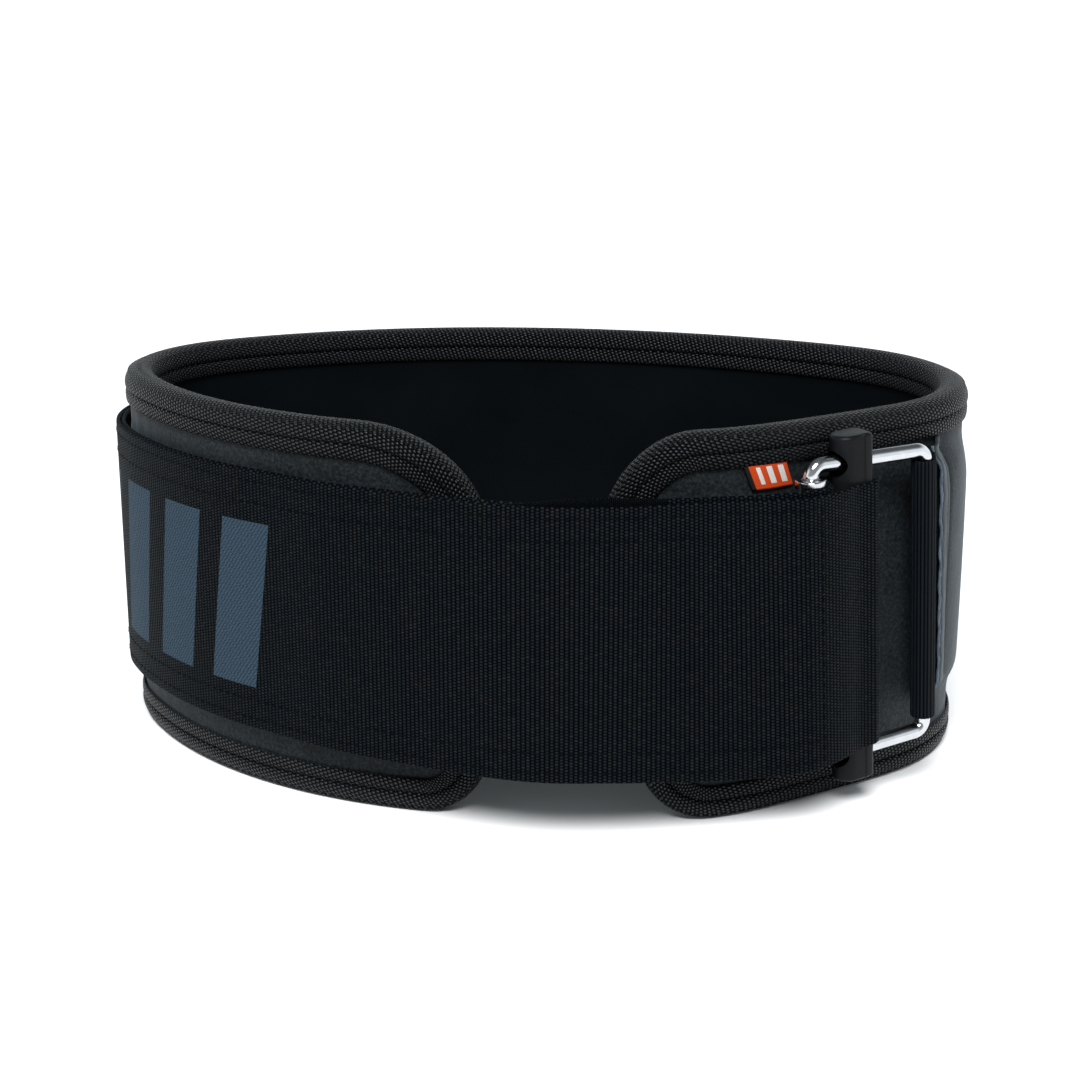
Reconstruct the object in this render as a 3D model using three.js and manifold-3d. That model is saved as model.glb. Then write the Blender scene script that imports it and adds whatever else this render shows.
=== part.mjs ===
// A fastened lifting belt: a padded panel with a bound edge bent into a ring, a webbing strap that crosses
// the gap at the front, and a wire buckle whose sliding post grips the strap.
// Millimetres, +Z up, the front faces -Y. The belt stands on its lower edge.
import * as THREE from "three";
import { mergeVertices } from "three/addons/utils/BufferGeometryUtils.js";
import Module from "manifold-3d";

// Padded body
const BELT_LENGTH = 589;
const BELT_HEIGHT = 108.4;
const EDGE_THICKNESS = 9;
const BINDING_WALL = 1;
const BINDING_REACH = 10;
const BINDING_ROUND = 2.2;
const STITCH_LINE = 5.6;
const STITCH_DIP = 0.2;
const FOOT_WIDTH = 3;
const LINING_THICKNESS = 1;
const PANEL_CROWN = 1.2;
const LINING_CROWN = 0.5;
const CROWN_RUN = 12;
const SWELL_START = 5;
const CLEARANCE = 0.3;

// Webbing strap and its hook tape
const STRAP_WIDTH = 75;
const STRAP_THICKNESS = 1.3;
const STRAP_LIFT = 18;
const STRAP_LEAVES = 60;
const FREE_END_REACH = 190;
const SEWN_END_REACH = 235;
const STRAP_BOW = 21;
const PLY_SPREAD = 2;
const TAPE_THICKNESS = 1.2;
const TAPE_RISE = 1.7;
const TAPE_FROM = 0.45;
const TAPE_TO = 0.76;

// Buckle
const BUCKLE_PLACE = 67.6;
const BUCKLE_TOE = -3;
const BUCKLE_RAISE = 1.4;
const BUCKLE_LEAN = -3.5;
const FRAME_HEIGHT = 83;
const FRAME_WIDTH = 37.5;
const WIRE_DIAMETER = 4.3;
const WIRE_BEND = 3.2;
const UPPER_WIRE_FALL = 2.9;
const POST_TO_SLEEVE = 12.4;
const POST_WIDTH = 11;
const POST_DEPTH = 8.4;
const POST_BEYOND_WIRE = 7.75;
const POST_HEIGHT = FRAME_HEIGHT + 2 * POST_BEYOND_WIRE;
const POST_CORNER = 2;
const POST_BEVEL = 0.8;
const POST_HOLE_PLAY = 3.1;
const SLEEVE_DIAMETER = 8.4;
const SLEEVE_PLAY = 0.6;
const HUMP_RISE = 4.5;
const HUMP_REACH = 9;
const KEEPER_THICKNESS = 1;
const KEEPER_WIDTH = 75;
const SLIT_LEAD = 9.8;
const SLIT_HEIGHT = 76;
const SLIT_RUN = 40;

// Side tag
const TAG_PLACE = 36.8;
const TAG_WIDTH = 12.5;
const TAG_DROP = 7.6;
const TAG_SLANT = 3;
const TAG_THICKNESS = 0.8;

// The ring seen from above, from the right end round the back to the left end: each stretch's length as a
// share of the belt's length, and how far it turns, in degrees.
const FIRST_HEADING = -16;
const PLAN_ARCS = [
  { stretch: "front right", length: 0.0743, turn: 44.7 },
  { stretch: "buckle side", length: 0.0854, turn: 7.2 },
  { stretch: "right side", length: 0.1651, turn: 112.7 },
  { stretch: "back right", length: 0.1949, turn: 29.3 },
  { stretch: "back left", length: 0.1551, turn: 31.4 },
  { stretch: "left side", length: 0.1043, turn: 86.9 },
  { stretch: "front left", length: 0.2209, turn: 59.3 },
];
const ARC_EASE = 8;

// Rounded ends of the panel, as shares of the belt's height. The lean is how far the lower corner falls back.
const ENDS = {
  right: { topRun: 0.245, topDrop: 0.31, bottomRun: 0.185, bottomRise: 0.185, lean: 0.105 },
  left: { topRun: 0.332, topDrop: 0.277, bottomRun: 0.166, bottomRise: 0.185, lean: 0 },
};

// The strap between the left front of the panel and the buckle: the place along the straight line between
// them, the bow off that line as a share of STRAP_BOW, and how far the plies are parted by the tape and the
// buckle.
const BRIDGE = [
  { along: 0.12, bow: 0.38, tape: 0, spread: 0 },
  { along: 0.27, bow: 0.69, tape: 0.6, spread: 0 },
  { along: 0.42, bow: 0.93, tape: 1, spread: 0 },
  { along: 0.54, bow: 1, tape: 1, spread: 0 },
  { along: 0.66, bow: 0.86, tape: 1, spread: 0 },
  { along: 0.79, bow: 0.55, tape: 1, spread: 0.2 },
  { along: 0.91, bow: 0.25, tape: 1, spread: 0.6 },
];

// How finely the solids are faceted
const TURN_STEP = 7;
const LENGTH_STEP = 14;
const CORNER_STEPS = 8;
const CHORD_TOLERANCE = 0.08;
const STRAP_TURN = 18;
const STRAP_STEP = 15;
const ROUND_SIDES = 12;

const COLOURS = {
  cover: { color: 0x1d1e21, roughness: 0.62, metalness: 0 },
  lining: { color: 0x0c0c0e, roughness: 0.8, metalness: 0 },
  binding: { color: 0x101114, roughness: 0.7, metalness: 0 },
  webbing: { color: 0x0b0c0f, roughness: 0.75, metalness: 0 },
  chrome: { color: 0xc9ccd0, roughness: 0.15, metalness: 1 },
  plastic: { color: 0x17181a, roughness: 0.45, metalness: 0 },
  tag: { color: 0xc62f1b, roughness: 0.7, metalness: 0 },
};

// Offsets from the panel's middle surface, positive towards the outside of the ring
const HALF_EDGE = EDGE_THICKNESS / 2;
const BINDING_INNER = HALF_EDGE - BINDING_WALL;
const PANEL_FACE = BINDING_INNER - CLEARANCE;
const LINING_FACE = -PANEL_FACE;
const LINING_BACK = LINING_FACE + LINING_THICKNESS;
const PANEL_BACK = LINING_BACK + CLEARANCE;
const RIM_INSET = BINDING_WALL + CLEARANCE;
const BODY_FACE = Math.max(HALF_EDGE, PANEL_FACE + PANEL_CROWN);

const { clamp, degToRad: radians, radToDeg: degrees } = THREE.MathUtils;
const mix = (a, b, share) => a + (b - a) * share;
const smooth = (from, to, value) => THREE.MathUtils.smoothstep(value, from, to);

// The middle line of the panel from above, as places one millimetre apart
function planHeading(s) {
  let heading = FIRST_HEADING;
  let from = 0;
  for (const { length, turn } of PLAN_ARCS) {
    const run = length * BELT_LENGTH;
    heading += turn * clamp((s - from) / run, 0, 1);
    from += run;
  }
  return radians(heading);
}

function easedHeading(s) {
  const samples = 9;
  let sum = 0;
  for (let i = 0; i < samples; i++) sum += planHeading(s + mix(-ARC_EASE, ARC_EASE, i / (samples - 1)));
  return sum / samples;
}

const PLAN = (() => {
  const count = Math.ceil(BELT_LENGTH);
  const step = BELT_LENGTH / count;
  const places = [{ x: 0, y: 0, heading: easedHeading(0) }];
  for (let i = 1; i <= count; i++) {
    const last = places[i - 1];
    const middle = easedHeading((i - 0.5) * step);
    places.push({
      x: last.x + step * Math.cos(middle),
      y: last.y + step * Math.sin(middle),
      heading: easedHeading(i * step),
    });
  }
  return { places, step };
})();

function planAt(s) {
  const at = clamp(s / PLAN.step, 0, PLAN.places.length - 1);
  const i = Math.min(Math.floor(at), PLAN.places.length - 2);
  const [a, b] = [PLAN.places[i], PLAN.places[i + 1]];
  const share = at - i;
  return { x: mix(a.x, b.x, share), y: mix(a.y, b.y, share), heading: mix(a.heading, b.heading, share) };
}

// A place s along the panel, n off its middle surface and z above the floor
function bend(s, n, z) {
  const { x, y, heading } = planAt(s);
  return new THREE.Vector3(x + n * Math.sin(heading), y - n * Math.cos(heading), z);
}

// Shares of a stretch of the panel, closer together where it turns more
function stationShares(from, to) {
  const shares = [];
  let s = from;
  while (s < to) {
    shares.push((s - from) / (to - from));
    const reach = planAt(s + LENGTH_STEP).heading - planAt(s).heading;
    s += LENGTH_STEP / Math.max(1, reach / radians(TURN_STEP));
  }
  shares.push(1);
  return shares;
}

// A closed body through rings of points; a closed run of rings has no end faces
function loft(rings, closed = false) {
  const size = rings[0].length;
  const points = rings.flat();
  const faces = [];
  const last = closed ? rings.length : rings.length - 1;
  for (let i = 0; i < last; i++) {
    const a = i * size;
    const b = ((i + 1) % rings.length) * size;
    for (let j = 0; j < size; j++) {
      const k = (j + 1) % size;
      faces.push(a + j, b + j, b + k, a + j, b + k, a + k);
    }
  }
  if (!closed) {
    const end = (rings.length - 1) * size;
    for (let j = 1; j < size - 1; j++) {
      faces.push(0, j, j + 1);
      faces.push(end, end + j + 1, end + j);
    }
  }
  return outward(new THREE.BufferGeometry().setFromPoints(points).setIndex(faces));
}

// The same body with its faces turned out
function outward(geometry) {
  const at = geometry.getAttribute("position");
  const index = geometry.getIndex().array;
  const [a, b, c] = [new THREE.Vector3(), new THREE.Vector3(), new THREE.Vector3()];
  let volume = 0;
  for (let i = 0; i < index.length; i += 3) {
    a.fromBufferAttribute(at, index[i]);
    b.fromBufferAttribute(at, index[i + 1]);
    c.fromBufferAttribute(at, index[i + 2]);
    volume += a.dot(b.cross(c));
  }
  if (volume < 0) {
    for (let i = 0; i < index.length; i += 3) {
      [index[i + 1], index[i + 2]] = [index[i + 2], index[i + 1]];
    }
  }
  geometry.computeVertexNormals();
  return geometry;
}

// The webbing that holds the buckle comes out of a slit in the cover, which leans with the buckle
const SLIT_PLACE = BUCKLE_PLACE + FRAME_WIDTH - POST_TO_SLEEVE + SLIT_LEAD;
const BUCKLE_MIDDLE = STRAP_LIFT + STRAP_WIDTH / 2 + BUCKLE_RAISE;
const LIP_EDGE = 0.15;

function slitAt(z) {
  return SLIT_PLACE + (z - BUCKLE_MIDDLE) * Math.tan(radians(BUCKLE_LEAN));
}

// Places between two ends of the panel, with one on each side of the slit
function stations(from, to) {
  const aside = Math.abs(slitAt(BELT_HEIGHT) - slitAt(0)) / 2 + 3 * LIP_EDGE + CLEARANCE;
  const spread = stationShares(from, to).map((share) => mix(from, to, share));
  const clear = spread.filter((s) => Math.abs(s - SLIT_PLACE) > 2 * aside);
  return [...clear, SLIT_PLACE - aside, SLIT_PLACE + aside].sort((a, b) => a - b);
}

// The panel's lower and upper edge as places (s, z), pushed in by an inset. The two have equal counts, and
// places of one number lie above each other except at the leaning end.
function edgePaths(inset) {
  const sized = (end) => Object.fromEntries(Object.entries(end).map(([key, share]) => [key, share * BELT_HEIGHT]));
  const right = sized(ENDS.right);
  const left = sized(ENDS.left);
  const rounded = (fromEnd, run, rise) => {
    const share = clamp((fromEnd - inset) / (run - inset), 0, 1);
    return inset + (rise - inset) * (1 - Math.sqrt(1 - (1 - share) ** 2));
  };
  const rightReach = Math.max(right.topRun, right.lean + right.bottomRun);
  const leftReach = Math.max(left.topRun, left.bottomRun);
  const lower = [];
  const upper = [];
  const add = (low, high, lowFromEnd, highFromEnd, end) => {
    lower.push(new THREE.Vector2(low, rounded(lowFromEnd, end.bottomRun, end.bottomRise)));
    upper.push(new THREE.Vector2(high, BELT_HEIGHT - rounded(highFromEnd, end.topRun, end.topDrop)));
  };
  const easedIn = (i) => 1 - Math.cos((i / CORNER_STEPS) * (Math.PI / 2));
  for (let i = 0; i < CORNER_STEPS; i++) {
    const high = mix(inset, rightReach, easedIn(i));
    const low = mix(inset + right.lean, rightReach, easedIn(i));
    add(low, high, low - right.lean, high, right);
  }
  for (const s of stations(rightReach, BELT_LENGTH - leftReach)) add(s, s, leftReach, leftReach, left);
  for (let i = CORNER_STEPS - 1; i >= 0; i--) {
    const fromEnd = mix(inset, leftReach, easedIn(i));
    add(BELT_LENGTH - fromEnd, BELT_LENGTH - fromEnd, fromEnd, fromEnd, left);
  }
  return { lower, upper };
}

// The panel's whole outline, run round once with the belt on its left
function outlineLoop() {
  const { lower, upper } = edgePaths(0);
  const endSteps = 3;
  const between = (a, b) =>
    Array.from({ length: endSteps - 1 }, (_, i) => a.clone().lerp(b, (i + 1) / endSteps));
  return [
    ...lower,
    ...between(lower.at(-1), upper.at(-1)),
    ...upper.toReversed(),
    ...between(upper[0], lower[0]),
  ];
}
const OUTLINE = outlineLoop();

function edgeDistance(s, z) {
  const place = new THREE.Vector2(s, z);
  const distances = OUTLINE.map((from, i) => {
    const along = OUTLINE[(i + 1) % OUTLINE.length].clone().sub(from);
    const share = clamp(place.clone().sub(from).dot(along) / along.lengthSq(), 0, 1);
    return place.distanceTo(from.clone().addScaledVector(along, share));
  });
  return Math.min(...distances);
}

// How far the cover swells between its bound edges, from none to one
function swell(s, z) {
  const from = BINDING_REACH + SWELL_START;
  return smooth(from, from + CROWN_RUN, edgeDistance(s, z));
}

const SLIT_RAISE = 2 * KEEPER_THICKNESS + 2 * CLEARANCE;
const SLIT_SOFT_END = 7;

// The cover stands up along the slit's lip
function slitRaise(s, z) {
  const beyond = s - slitAt(z);
  if (beyond < 0) return 0;
  const off = Math.abs(z - BUCKLE_MIDDLE);
  const along = 1 - smooth(0, SLIT_RUN, beyond);
  return SLIT_RAISE * along * (1 - smooth(SLIT_HEIGHT / 2 - SLIT_SOFT_END, SLIT_HEIGHT / 2, off));
}

function panelFace(s, z) {
  return PANEL_FACE + PANEL_CROWN * swell(s, z) + slitRaise(s, z);
}

// Rows of the panel's face from its lower to its upper edge
const FACE_ROWS = [0, 0.1, 0.17, 0.25, 0.5, 0.75, 0.83, 0.9, 1];

const BACK_ROWS = [1, 0.75, 0.5, 0.25, 0];

// A layer of the body between two offsets, with a section on each side of the slit's lip
function sheetBetween(backAt, faceAt) {
  const { lower, upper } = edgePaths(RIM_INSET);
  const sections = lower.map((low, i) => ({ low, high: upper[i] }));
  for (const side of [-LIP_EDGE, LIP_EDGE]) {
    const [lowZ, highZ] = [RIM_INSET, BELT_HEIGHT - RIM_INSET];
    sections.push({
      low: new THREE.Vector2(slitAt(lowZ) + side, lowZ),
      high: new THREE.Vector2(slitAt(highZ) + side, highZ),
    });
  }
  sections.sort((a, b) => a.low.x + a.high.x - b.low.x - b.high.x);
  const rings = sections.map(({ low, high }) => {
    const row = (share, offset) => {
      const [s, z] = [mix(low.x, high.x, share), mix(low.y, high.y, share)];
      return bend(s, offset(s, z), z);
    };
    return [...FACE_ROWS.map((share) => row(share, faceAt)), ...BACK_ROWS.map((share) => row(share, backAt))];
  });
  return loft(rings);
}

function paddedPanel() {
  return sheetBetween(() => PANEL_BACK, panelFace);
}

function innerLining() {
  const inner = (s, z) => LINING_FACE - LINING_CROWN * swell(s, z);
  const outer = () => LINING_BACK;
  return sheetBetween(inner, outer);
}

// Woven tape folded over the panel's edge all round, with a flat along its fold to stand on
function edgeBinding() {
  const outer = [
    [BINDING_REACH, HALF_EDGE - STITCH_DIP],
    [STITCH_LINE, HALF_EDGE - STITCH_DIP],
    [BINDING_ROUND, HALF_EDGE],
    [BINDING_ROUND * 0.3, HALF_EDGE * 0.8],
    [0, FOOT_WIDTH / 2],
  ];
  const inner = [
    [BINDING_WALL, BINDING_INNER],
    [STITCH_LINE, BINDING_INNER],
    [BINDING_REACH, BINDING_INNER],
  ];
  const mirrored = (side) => side.map(([depth, offset]) => [depth, -offset]).reverse();
  const section = [...outer, ...mirrored(outer), ...mirrored(inner), ...inner];
  const rings = OUTLINE.map((point, i) => {
    const before = OUTLINE.at(i - 1);
    const after = OUTLINE[(i + 1) % OUTLINE.length];
    const inward = after.clone().sub(before).normalize().rotateAround(new THREE.Vector2(), Math.PI / 2);
    return section.map(([depth, offset]) => {
      const place = point.clone().addScaledVector(inward, depth);
      return bend(place.x, offset, place.y);
    });
  });
  return loft(rings, true);
}

// The buckle's own frame: x along the frame to the right, y into the belt, z up, from the post's middle
const BUCKLE = (() => {
  const standOff = BODY_FACE + 2 * CLEARANCE + STRAP_THICKNESS + POST_DEPTH / 2;
  const origin = bend(BUCKLE_PLACE, standOff, BUCKLE_MIDDLE);
  return { origin, heading: planAt(BUCKLE_PLACE).heading + radians(BUCKLE_TOE) };
})();
const SLEEVE_X = -POST_TO_SLEEVE;
const BAR_X = FRAME_WIDTH - POST_TO_SLEEVE;

function fromBuckle(x, y) {
  const { origin, heading } = BUCKLE;
  return new THREE.Vector2(x, y).rotateAround(new THREE.Vector2(), heading).add(new THREE.Vector2(origin.x, origin.y));
}

function toBuckle(x, y) {
  const { origin, heading } = BUCKLE;
  return new THREE.Vector2(x - origin.x, y - origin.y).rotateAround(new THREE.Vector2(), -heading);
}

// The buckle leans in its own plane, and the webbing near it leans with it
const LEAN_RUN = 55;

function leanShare(x) {
  const full = SLEEVE_X - SLEEVE_DIAMETER;
  return smooth(full - LEAN_RUN, full, x);
}

function leaned(x, y, z) {
  const local = toBuckle(x, y);
  const turn = radians(BUCKLE_LEAN) * leanShare(local.x);
  const up = z - BUCKLE.origin.z;
  const plan = fromBuckle(local.x * Math.cos(turn) + up * Math.sin(turn), local.y);
  return new THREE.Vector3(plan.x, plan.y, BUCKLE.origin.z + up * Math.cos(turn) - local.x * Math.sin(turn));
}

// A path's points, kept where a straight line would cut its curve by more than the tolerance
function thinned(path) {
  const kept = [path[0]];
  let turned = 0;
  let run = 0;
  for (let i = 1; i < path.length - 1; i++) {
    const before = path[i].clone().sub(path[i - 1]);
    const after = path[i + 1].clone().sub(path[i]);
    turned += Math.abs(Math.atan2(before.cross(after), before.dot(after)));
    run += before.length();
    if ((run * turned) / 8 > CHORD_TOLERANCE || turned > radians(STRAP_TURN) || run > STRAP_STEP) {
      kept.push(path[i]);
      turned = 0;
      run = 0;
    }
  }
  return [...kept, path.at(-1)];
}

// Webbing on edge along a path seen from above, its edges a little rounded
function ribbon(path, thickness, bottom, top) {
  const half = thickness / 2;
  const rings = path.map((point, i) => {
    const before = path[Math.max(i - 1, 0)];
    const after = path[Math.min(i + 1, path.length - 1)];
    const side = after.clone().sub(before).normalize().rotateAround(new THREE.Vector2(), -Math.PI / 2);
    const at = (off, z) => leaned(point.x + side.x * off, point.y + side.y * off, z);
    return [
      at(-half, bottom + half),
      at(0, bottom),
      at(half, bottom + half),
      at(half, top - half),
      at(0, top),
      at(-half, top - half),
    ];
  });
  return loft(rings);
}

// A smooth curve through points seen from above, as points one millimetre apart
function splined(points) {
  const curve = new THREE.CatmullRomCurve3(
    points.map(({ x, y }) => new THREE.Vector3(x, y, 0)),
    false,
    "centripetal",
  );
  const count = Math.ceil(curve.getLength());
  return curve.getSpacedPoints(count).map(({ x, y }) => new THREE.Vector2(x, y));
}

// An arc in the buckle's frame between two directions in degrees
function buckleArc(x, y, radius, from, to) {
  const steps = Math.max(2, Math.ceil(Math.abs(to - from) / 6));
  return Array.from({ length: steps + 1 }, (_, i) => {
    const turn = radians(mix(from, to, i / steps));
    return fromBuckle(x + radius * Math.cos(turn), y + radius * Math.sin(turn));
  });
}

// Both plies of the strap from above. The inner ply is sewn to the panel at the back, follows its left
// side, crosses the gap, passes in front of the sleeve and behind the post, and comes back as the outer ply.
const STRAP = (() => {
  const half = STRAP_THICKNESS / 2;
  const pitch = STRAP_THICKNESS + CLEARANCE;
  const tapePitch = TAPE_THICKNESS + CLEARANCE;
  const innerOffset = BODY_FACE + CLEARANCE + half;
  const outerOffset = innerOffset + pitch;
  const stick = CLEARANCE + half;
  const sleeveWrap = SLEEVE_DIAMETER / 2 + stick;
  const postWrap = POST_DEPTH / 2 + stick;
  const postRoundX = -POST_WIDTH / 2 + POST_DEPTH / 2;
  const humpTop = sleeveWrap + HUMP_RISE;
  const humpX = SLEEVE_X - HUMP_REACH;

  const along = (reach, offset) => {
    const count = Math.ceil((reach - STRAP_LEAVES) / LENGTH_STEP);
    return Array.from({ length: count }, (_, i) => {
      const place = bend(BELT_LENGTH - mix(reach, STRAP_LEAVES, i / count), offset, 0);
      return new THREE.Vector2(place.x, place.y);
    });
  };
  const leaves = bend(BELT_LENGTH - STRAP_LEAVES, outerOffset, 0);
  const start = new THREE.Vector2(leaves.x, leaves.y);
  const end = fromBuckle(humpX, -humpTop);
  const chord = end.clone().sub(start);
  const off = chord.clone().normalize().rotateAround(new THREE.Vector2(), -Math.PI / 2);
  const bridge = BRIDGE.map(({ along: share, bow }) =>
    start.clone().addScaledVector(chord, share).addScaledVector(off, bow * STRAP_BOW),
  );
  const outerPoints = [...along(FREE_END_REACH, outerOffset), start, ...bridge, end];
  const inwardAt = (i) => {
    const all = [...bridge, end];
    const before = i > 0 ? all[i - 1] : start;
    const after = all[Math.min(i + 1, all.length - 1)];
    return after.clone().sub(before).normalize().rotateAround(new THREE.Vector2(), Math.PI / 2);
  };
  const parted = ({ tape, spread }) => pitch + tape * tapePitch + spread * PLY_SPREAD;
  const innerBridge = [...BRIDGE, { tape: 1, spread: 1 }].map((row, i) =>
    [...bridge, end][i].clone().addScaledVector(inwardAt(i), parted(row)),
  );
  const innerStart = bend(BELT_LENGTH - STRAP_LEAVES, innerOffset, 0);
  const innerPoints = [
    ...along(SEWN_END_REACH, innerOffset),
    new THREE.Vector2(innerStart.x, innerStart.y),
    ...innerBridge,
    fromBuckle(SLEEVE_X - SLEEVE_DIAMETER / 2, -sleeveWrap + half / 2),
    fromBuckle(SLEEVE_X, -sleeveWrap),
  ];

  const slant = degrees(Math.asin((sleeveWrap + postWrap) / (postRoundX - SLEEVE_X)));
  const cornerX = POST_WIDTH / 2 - POST_CORNER;
  const cornerY = POST_DEPTH / 2 - POST_CORNER;
  const cornerWrap = POST_CORNER + stick;
  const round = [
    ...buckleArc(SLEEVE_X, 0, sleeveWrap, -90, slant - 90).slice(1),
    ...buckleArc(postRoundX, 0, postWrap, 90 + slant, 90),
    ...buckleArc(cornerX, cornerY, cornerWrap, 90, 0),
    ...buckleArc(cornerX, -cornerY, cornerWrap, 0, -90),
  ];
  const overSleeve = splined([
    fromBuckle(cornerX, -postWrap),
    fromBuckle(postRoundX, -postWrap - half / 2),
    fromBuckle(mix(postRoundX, SLEEVE_X, 0.6), -mix(postWrap, humpTop, 0.6)),
    fromBuckle(mix(SLEEVE_X, humpX, 0.25), -mix(postWrap, humpTop, 0.92)),
    end,
    ...bridge.toReversed(),
    start,
    ...along(FREE_END_REACH, outerOffset).toReversed(),
  ]);
  const inner = splined(innerPoints);
  const whole = [...inner, ...round, ...overSleeve.slice(1)];
  return { whole, outer: splined(outerPoints), start, chord };
})();

function strap() {
  const path = thinned(STRAP.whole);
  return ribbon(path, STRAP_THICKNESS, STRAP_LIFT, STRAP_LIFT + STRAP_WIDTH);
}

// Hook tape between the plies where they cross the gap, standing a little above them
function hookTape() {
  const inset = (STRAP_THICKNESS + TAPE_THICKNESS) / 2 + CLEARANCE;
  const length = STRAP.chord.length();
  const share = (point) => point.clone().sub(STRAP.start).dot(STRAP.chord) / length ** 2;
  const covered = STRAP.outer.map((point, i, all) => {
    const after = all[Math.min(i + 1, all.length - 1)];
    const before = all[Math.max(i - 1, 0)];
    const inward = after.clone().sub(before).normalize().rotateAround(new THREE.Vector2(), Math.PI / 2);
    return { share: share(point), place: point.clone().addScaledVector(inward, inset) };
  });
  const crossing = covered.filter((point) => point.share > TAPE_FROM && point.share < TAPE_TO);
  const front = crossing.filter(({ place }) => place.y < STRAP.start.y).map(({ place }) => place);
  const bottom = STRAP_LIFT + TAPE_RISE;
  return ribbon(thinned(front), TAPE_THICKNESS, bottom, bottom + STRAP_WIDTH);
}

// One ring of round wire with four bends; its upper cross wire falls a little to the right
function buckleFrame() {
  const upper = (x) => FRAME_HEIGHT / 2 - x * Math.tan(radians(UPPER_WIRE_FALL));
  const corners = [
    { x: BAR_X, z: upper(BAR_X), from: 90, to: 0 },
    { x: BAR_X, z: -FRAME_HEIGHT / 2, from: 0, to: -90 },
    { x: SLEEVE_X, z: -FRAME_HEIGHT / 2, from: -90, to: -180 },
    { x: SLEEVE_X, z: upper(SLEEVE_X), from: 180, to: 90 },
  ];
  const bendSteps = 4;
  const rings = corners.flatMap(({ x, z, from, to }) =>
    Array.from({ length: bendSteps + 1 }, (_, i) => {
      const turn = radians(mix(from, to, i / bendSteps));
      const out = new THREE.Vector3(Math.cos(turn), 0, Math.sin(turn));
      const bendCentre = new THREE.Vector3(x - Math.sign(x) * WIRE_BEND, 0, z - Math.sign(z) * WIRE_BEND);
      const middle = bendCentre.addScaledVector(out, WIRE_BEND);
      return Array.from({ length: ROUND_SIDES }, (_, k) => {
        const roll = (k / ROUND_SIDES) * 2 * Math.PI;
        return middle
          .clone()
          .addScaledVector(out, (WIRE_DIAMETER / 2) * Math.cos(roll))
          .add(new THREE.Vector3(0, (WIRE_DIAMETER / 2) * Math.sin(roll), 0));
      });
    }),
  );
  return loft(rings, true);
}

// The sleeve that turns on the frame's left bar
function rollerSleeve() {
  const bore = (WIRE_DIAMETER + SLEEVE_PLAY) / 2;
  const half = FRAME_HEIGHT / 2 - WIRE_BEND - CLEARANCE;
  const profile = [
    [bore, -half],
    [SLEEVE_DIAMETER / 2, -half],
    [SLEEVE_DIAMETER / 2, half],
    [bore, half],
    [bore, -half],
  ].map(([radius, z]) => new THREE.Vector2(radius, z));
  const tube = new THREE.LatheGeometry(profile, 2 * ROUND_SIDES);
  return tube.rotateX(Math.PI / 2).translate(SLEEVE_X, 0, 0);
}

const wasm = await Module();
wasm.setup();

function solid(geometry) {
  geometry.deleteAttribute("normal");
  geometry.deleteAttribute("uv");
  const merged = mergeVertices(geometry, 1e-4);
  return new wasm.Manifold(
    new wasm.Mesh({
      numProp: 3,
      vertProperties: merged.attributes.position.array,
      triVerts: new Uint32Array(merged.index.array),
    }),
  );
}

function fromSolid(body) {
  const mesh = body.getMesh();
  const geometry = new THREE.BufferGeometry();
  geometry.setAttribute("position", new THREE.BufferAttribute(mesh.vertProperties, 3));
  geometry.setIndex(new THREE.BufferAttribute(mesh.triVerts, 1));
  geometry.computeVertexNormals();
  return geometry;
}

// The moulded post slides along the frame's two cross wires, which run through its bores
function sliderPost() {
  const halfWidth = POST_WIDTH / 2;
  const halfDepth = POST_DEPTH / 2;
  const section = new THREE.Shape();
  section.absarc(-halfWidth + halfDepth, 0, halfDepth, Math.PI / 2, (3 * Math.PI) / 2, false);
  section.absarc(halfWidth - POST_CORNER, -halfDepth + POST_CORNER, POST_CORNER, -Math.PI / 2, 0, false);
  section.absarc(halfWidth - POST_CORNER, halfDepth - POST_CORNER, POST_CORNER, 0, Math.PI / 2, false);
  const body = new THREE.ExtrudeGeometry(section, {
    depth: POST_HEIGHT - 2 * POST_BEVEL,
    curveSegments: 6,
    bevelEnabled: true,
    bevelThickness: POST_BEVEL,
    bevelSize: POST_BEVEL,
    bevelOffset: -POST_BEVEL,
    bevelSegments: 2,
  }).translate(0, 0, POST_BEVEL - POST_HEIGHT / 2);
  const boreRadius = (WIRE_DIAMETER + POST_HOLE_PLAY) / 2;
  const bore = (z) =>
    solid(
      new THREE.CylinderGeometry(boreRadius, boreRadius, 2 * POST_WIDTH, ROUND_SIDES)
        .rotateZ(Math.PI / 2)
        .translate(0, 0, z),
    );
  const halfFrame = FRAME_HEIGHT / 2;
  return fromSolid(solid(body).subtract(bore(halfFrame)).subtract(bore(-halfFrame)));
}

// Webbing folded round the frame's right bar, both tails going into the slit in the cover
function keeperLoop() {
  const half = KEEPER_THICKNESS / 2;
  const wrap = WIRE_DIAMETER / 2 + CLEARANCE + half;
  const slit = SLIT_PLACE - 3 * CLEARANCE;
  const lowOffset = PANEL_FACE + PANEL_CROWN + CLEARANCE + half;
  const tail = (offset) => {
    const place = bend(slit, offset, 0);
    return toBuckle(place.x, place.y);
  };
  const low = tail(lowOffset);
  const high = tail(lowOffset + KEEPER_THICKNESS + CLEARANCE);
  const touch = (point, side) => {
    const reach = Math.hypot(point.x - BAR_X, point.y);
    const toward = Math.atan2(point.y, point.x - BAR_X);
    return degrees(toward + side * Math.acos(wrap / reach));
  };
  const world = (point) => fromBuckle(point.x, point.y);
  const path = [world(low), ...buckleArc(BAR_X, 0, wrap, touch(low, 1), 360 + touch(high, -1)), world(high)];
  const bottom = BUCKLE_MIDDLE - KEEPER_WIDTH / 2;
  return ribbon(thinned(path), KEEPER_THICKNESS, bottom, bottom + KEEPER_WIDTH);
}

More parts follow.
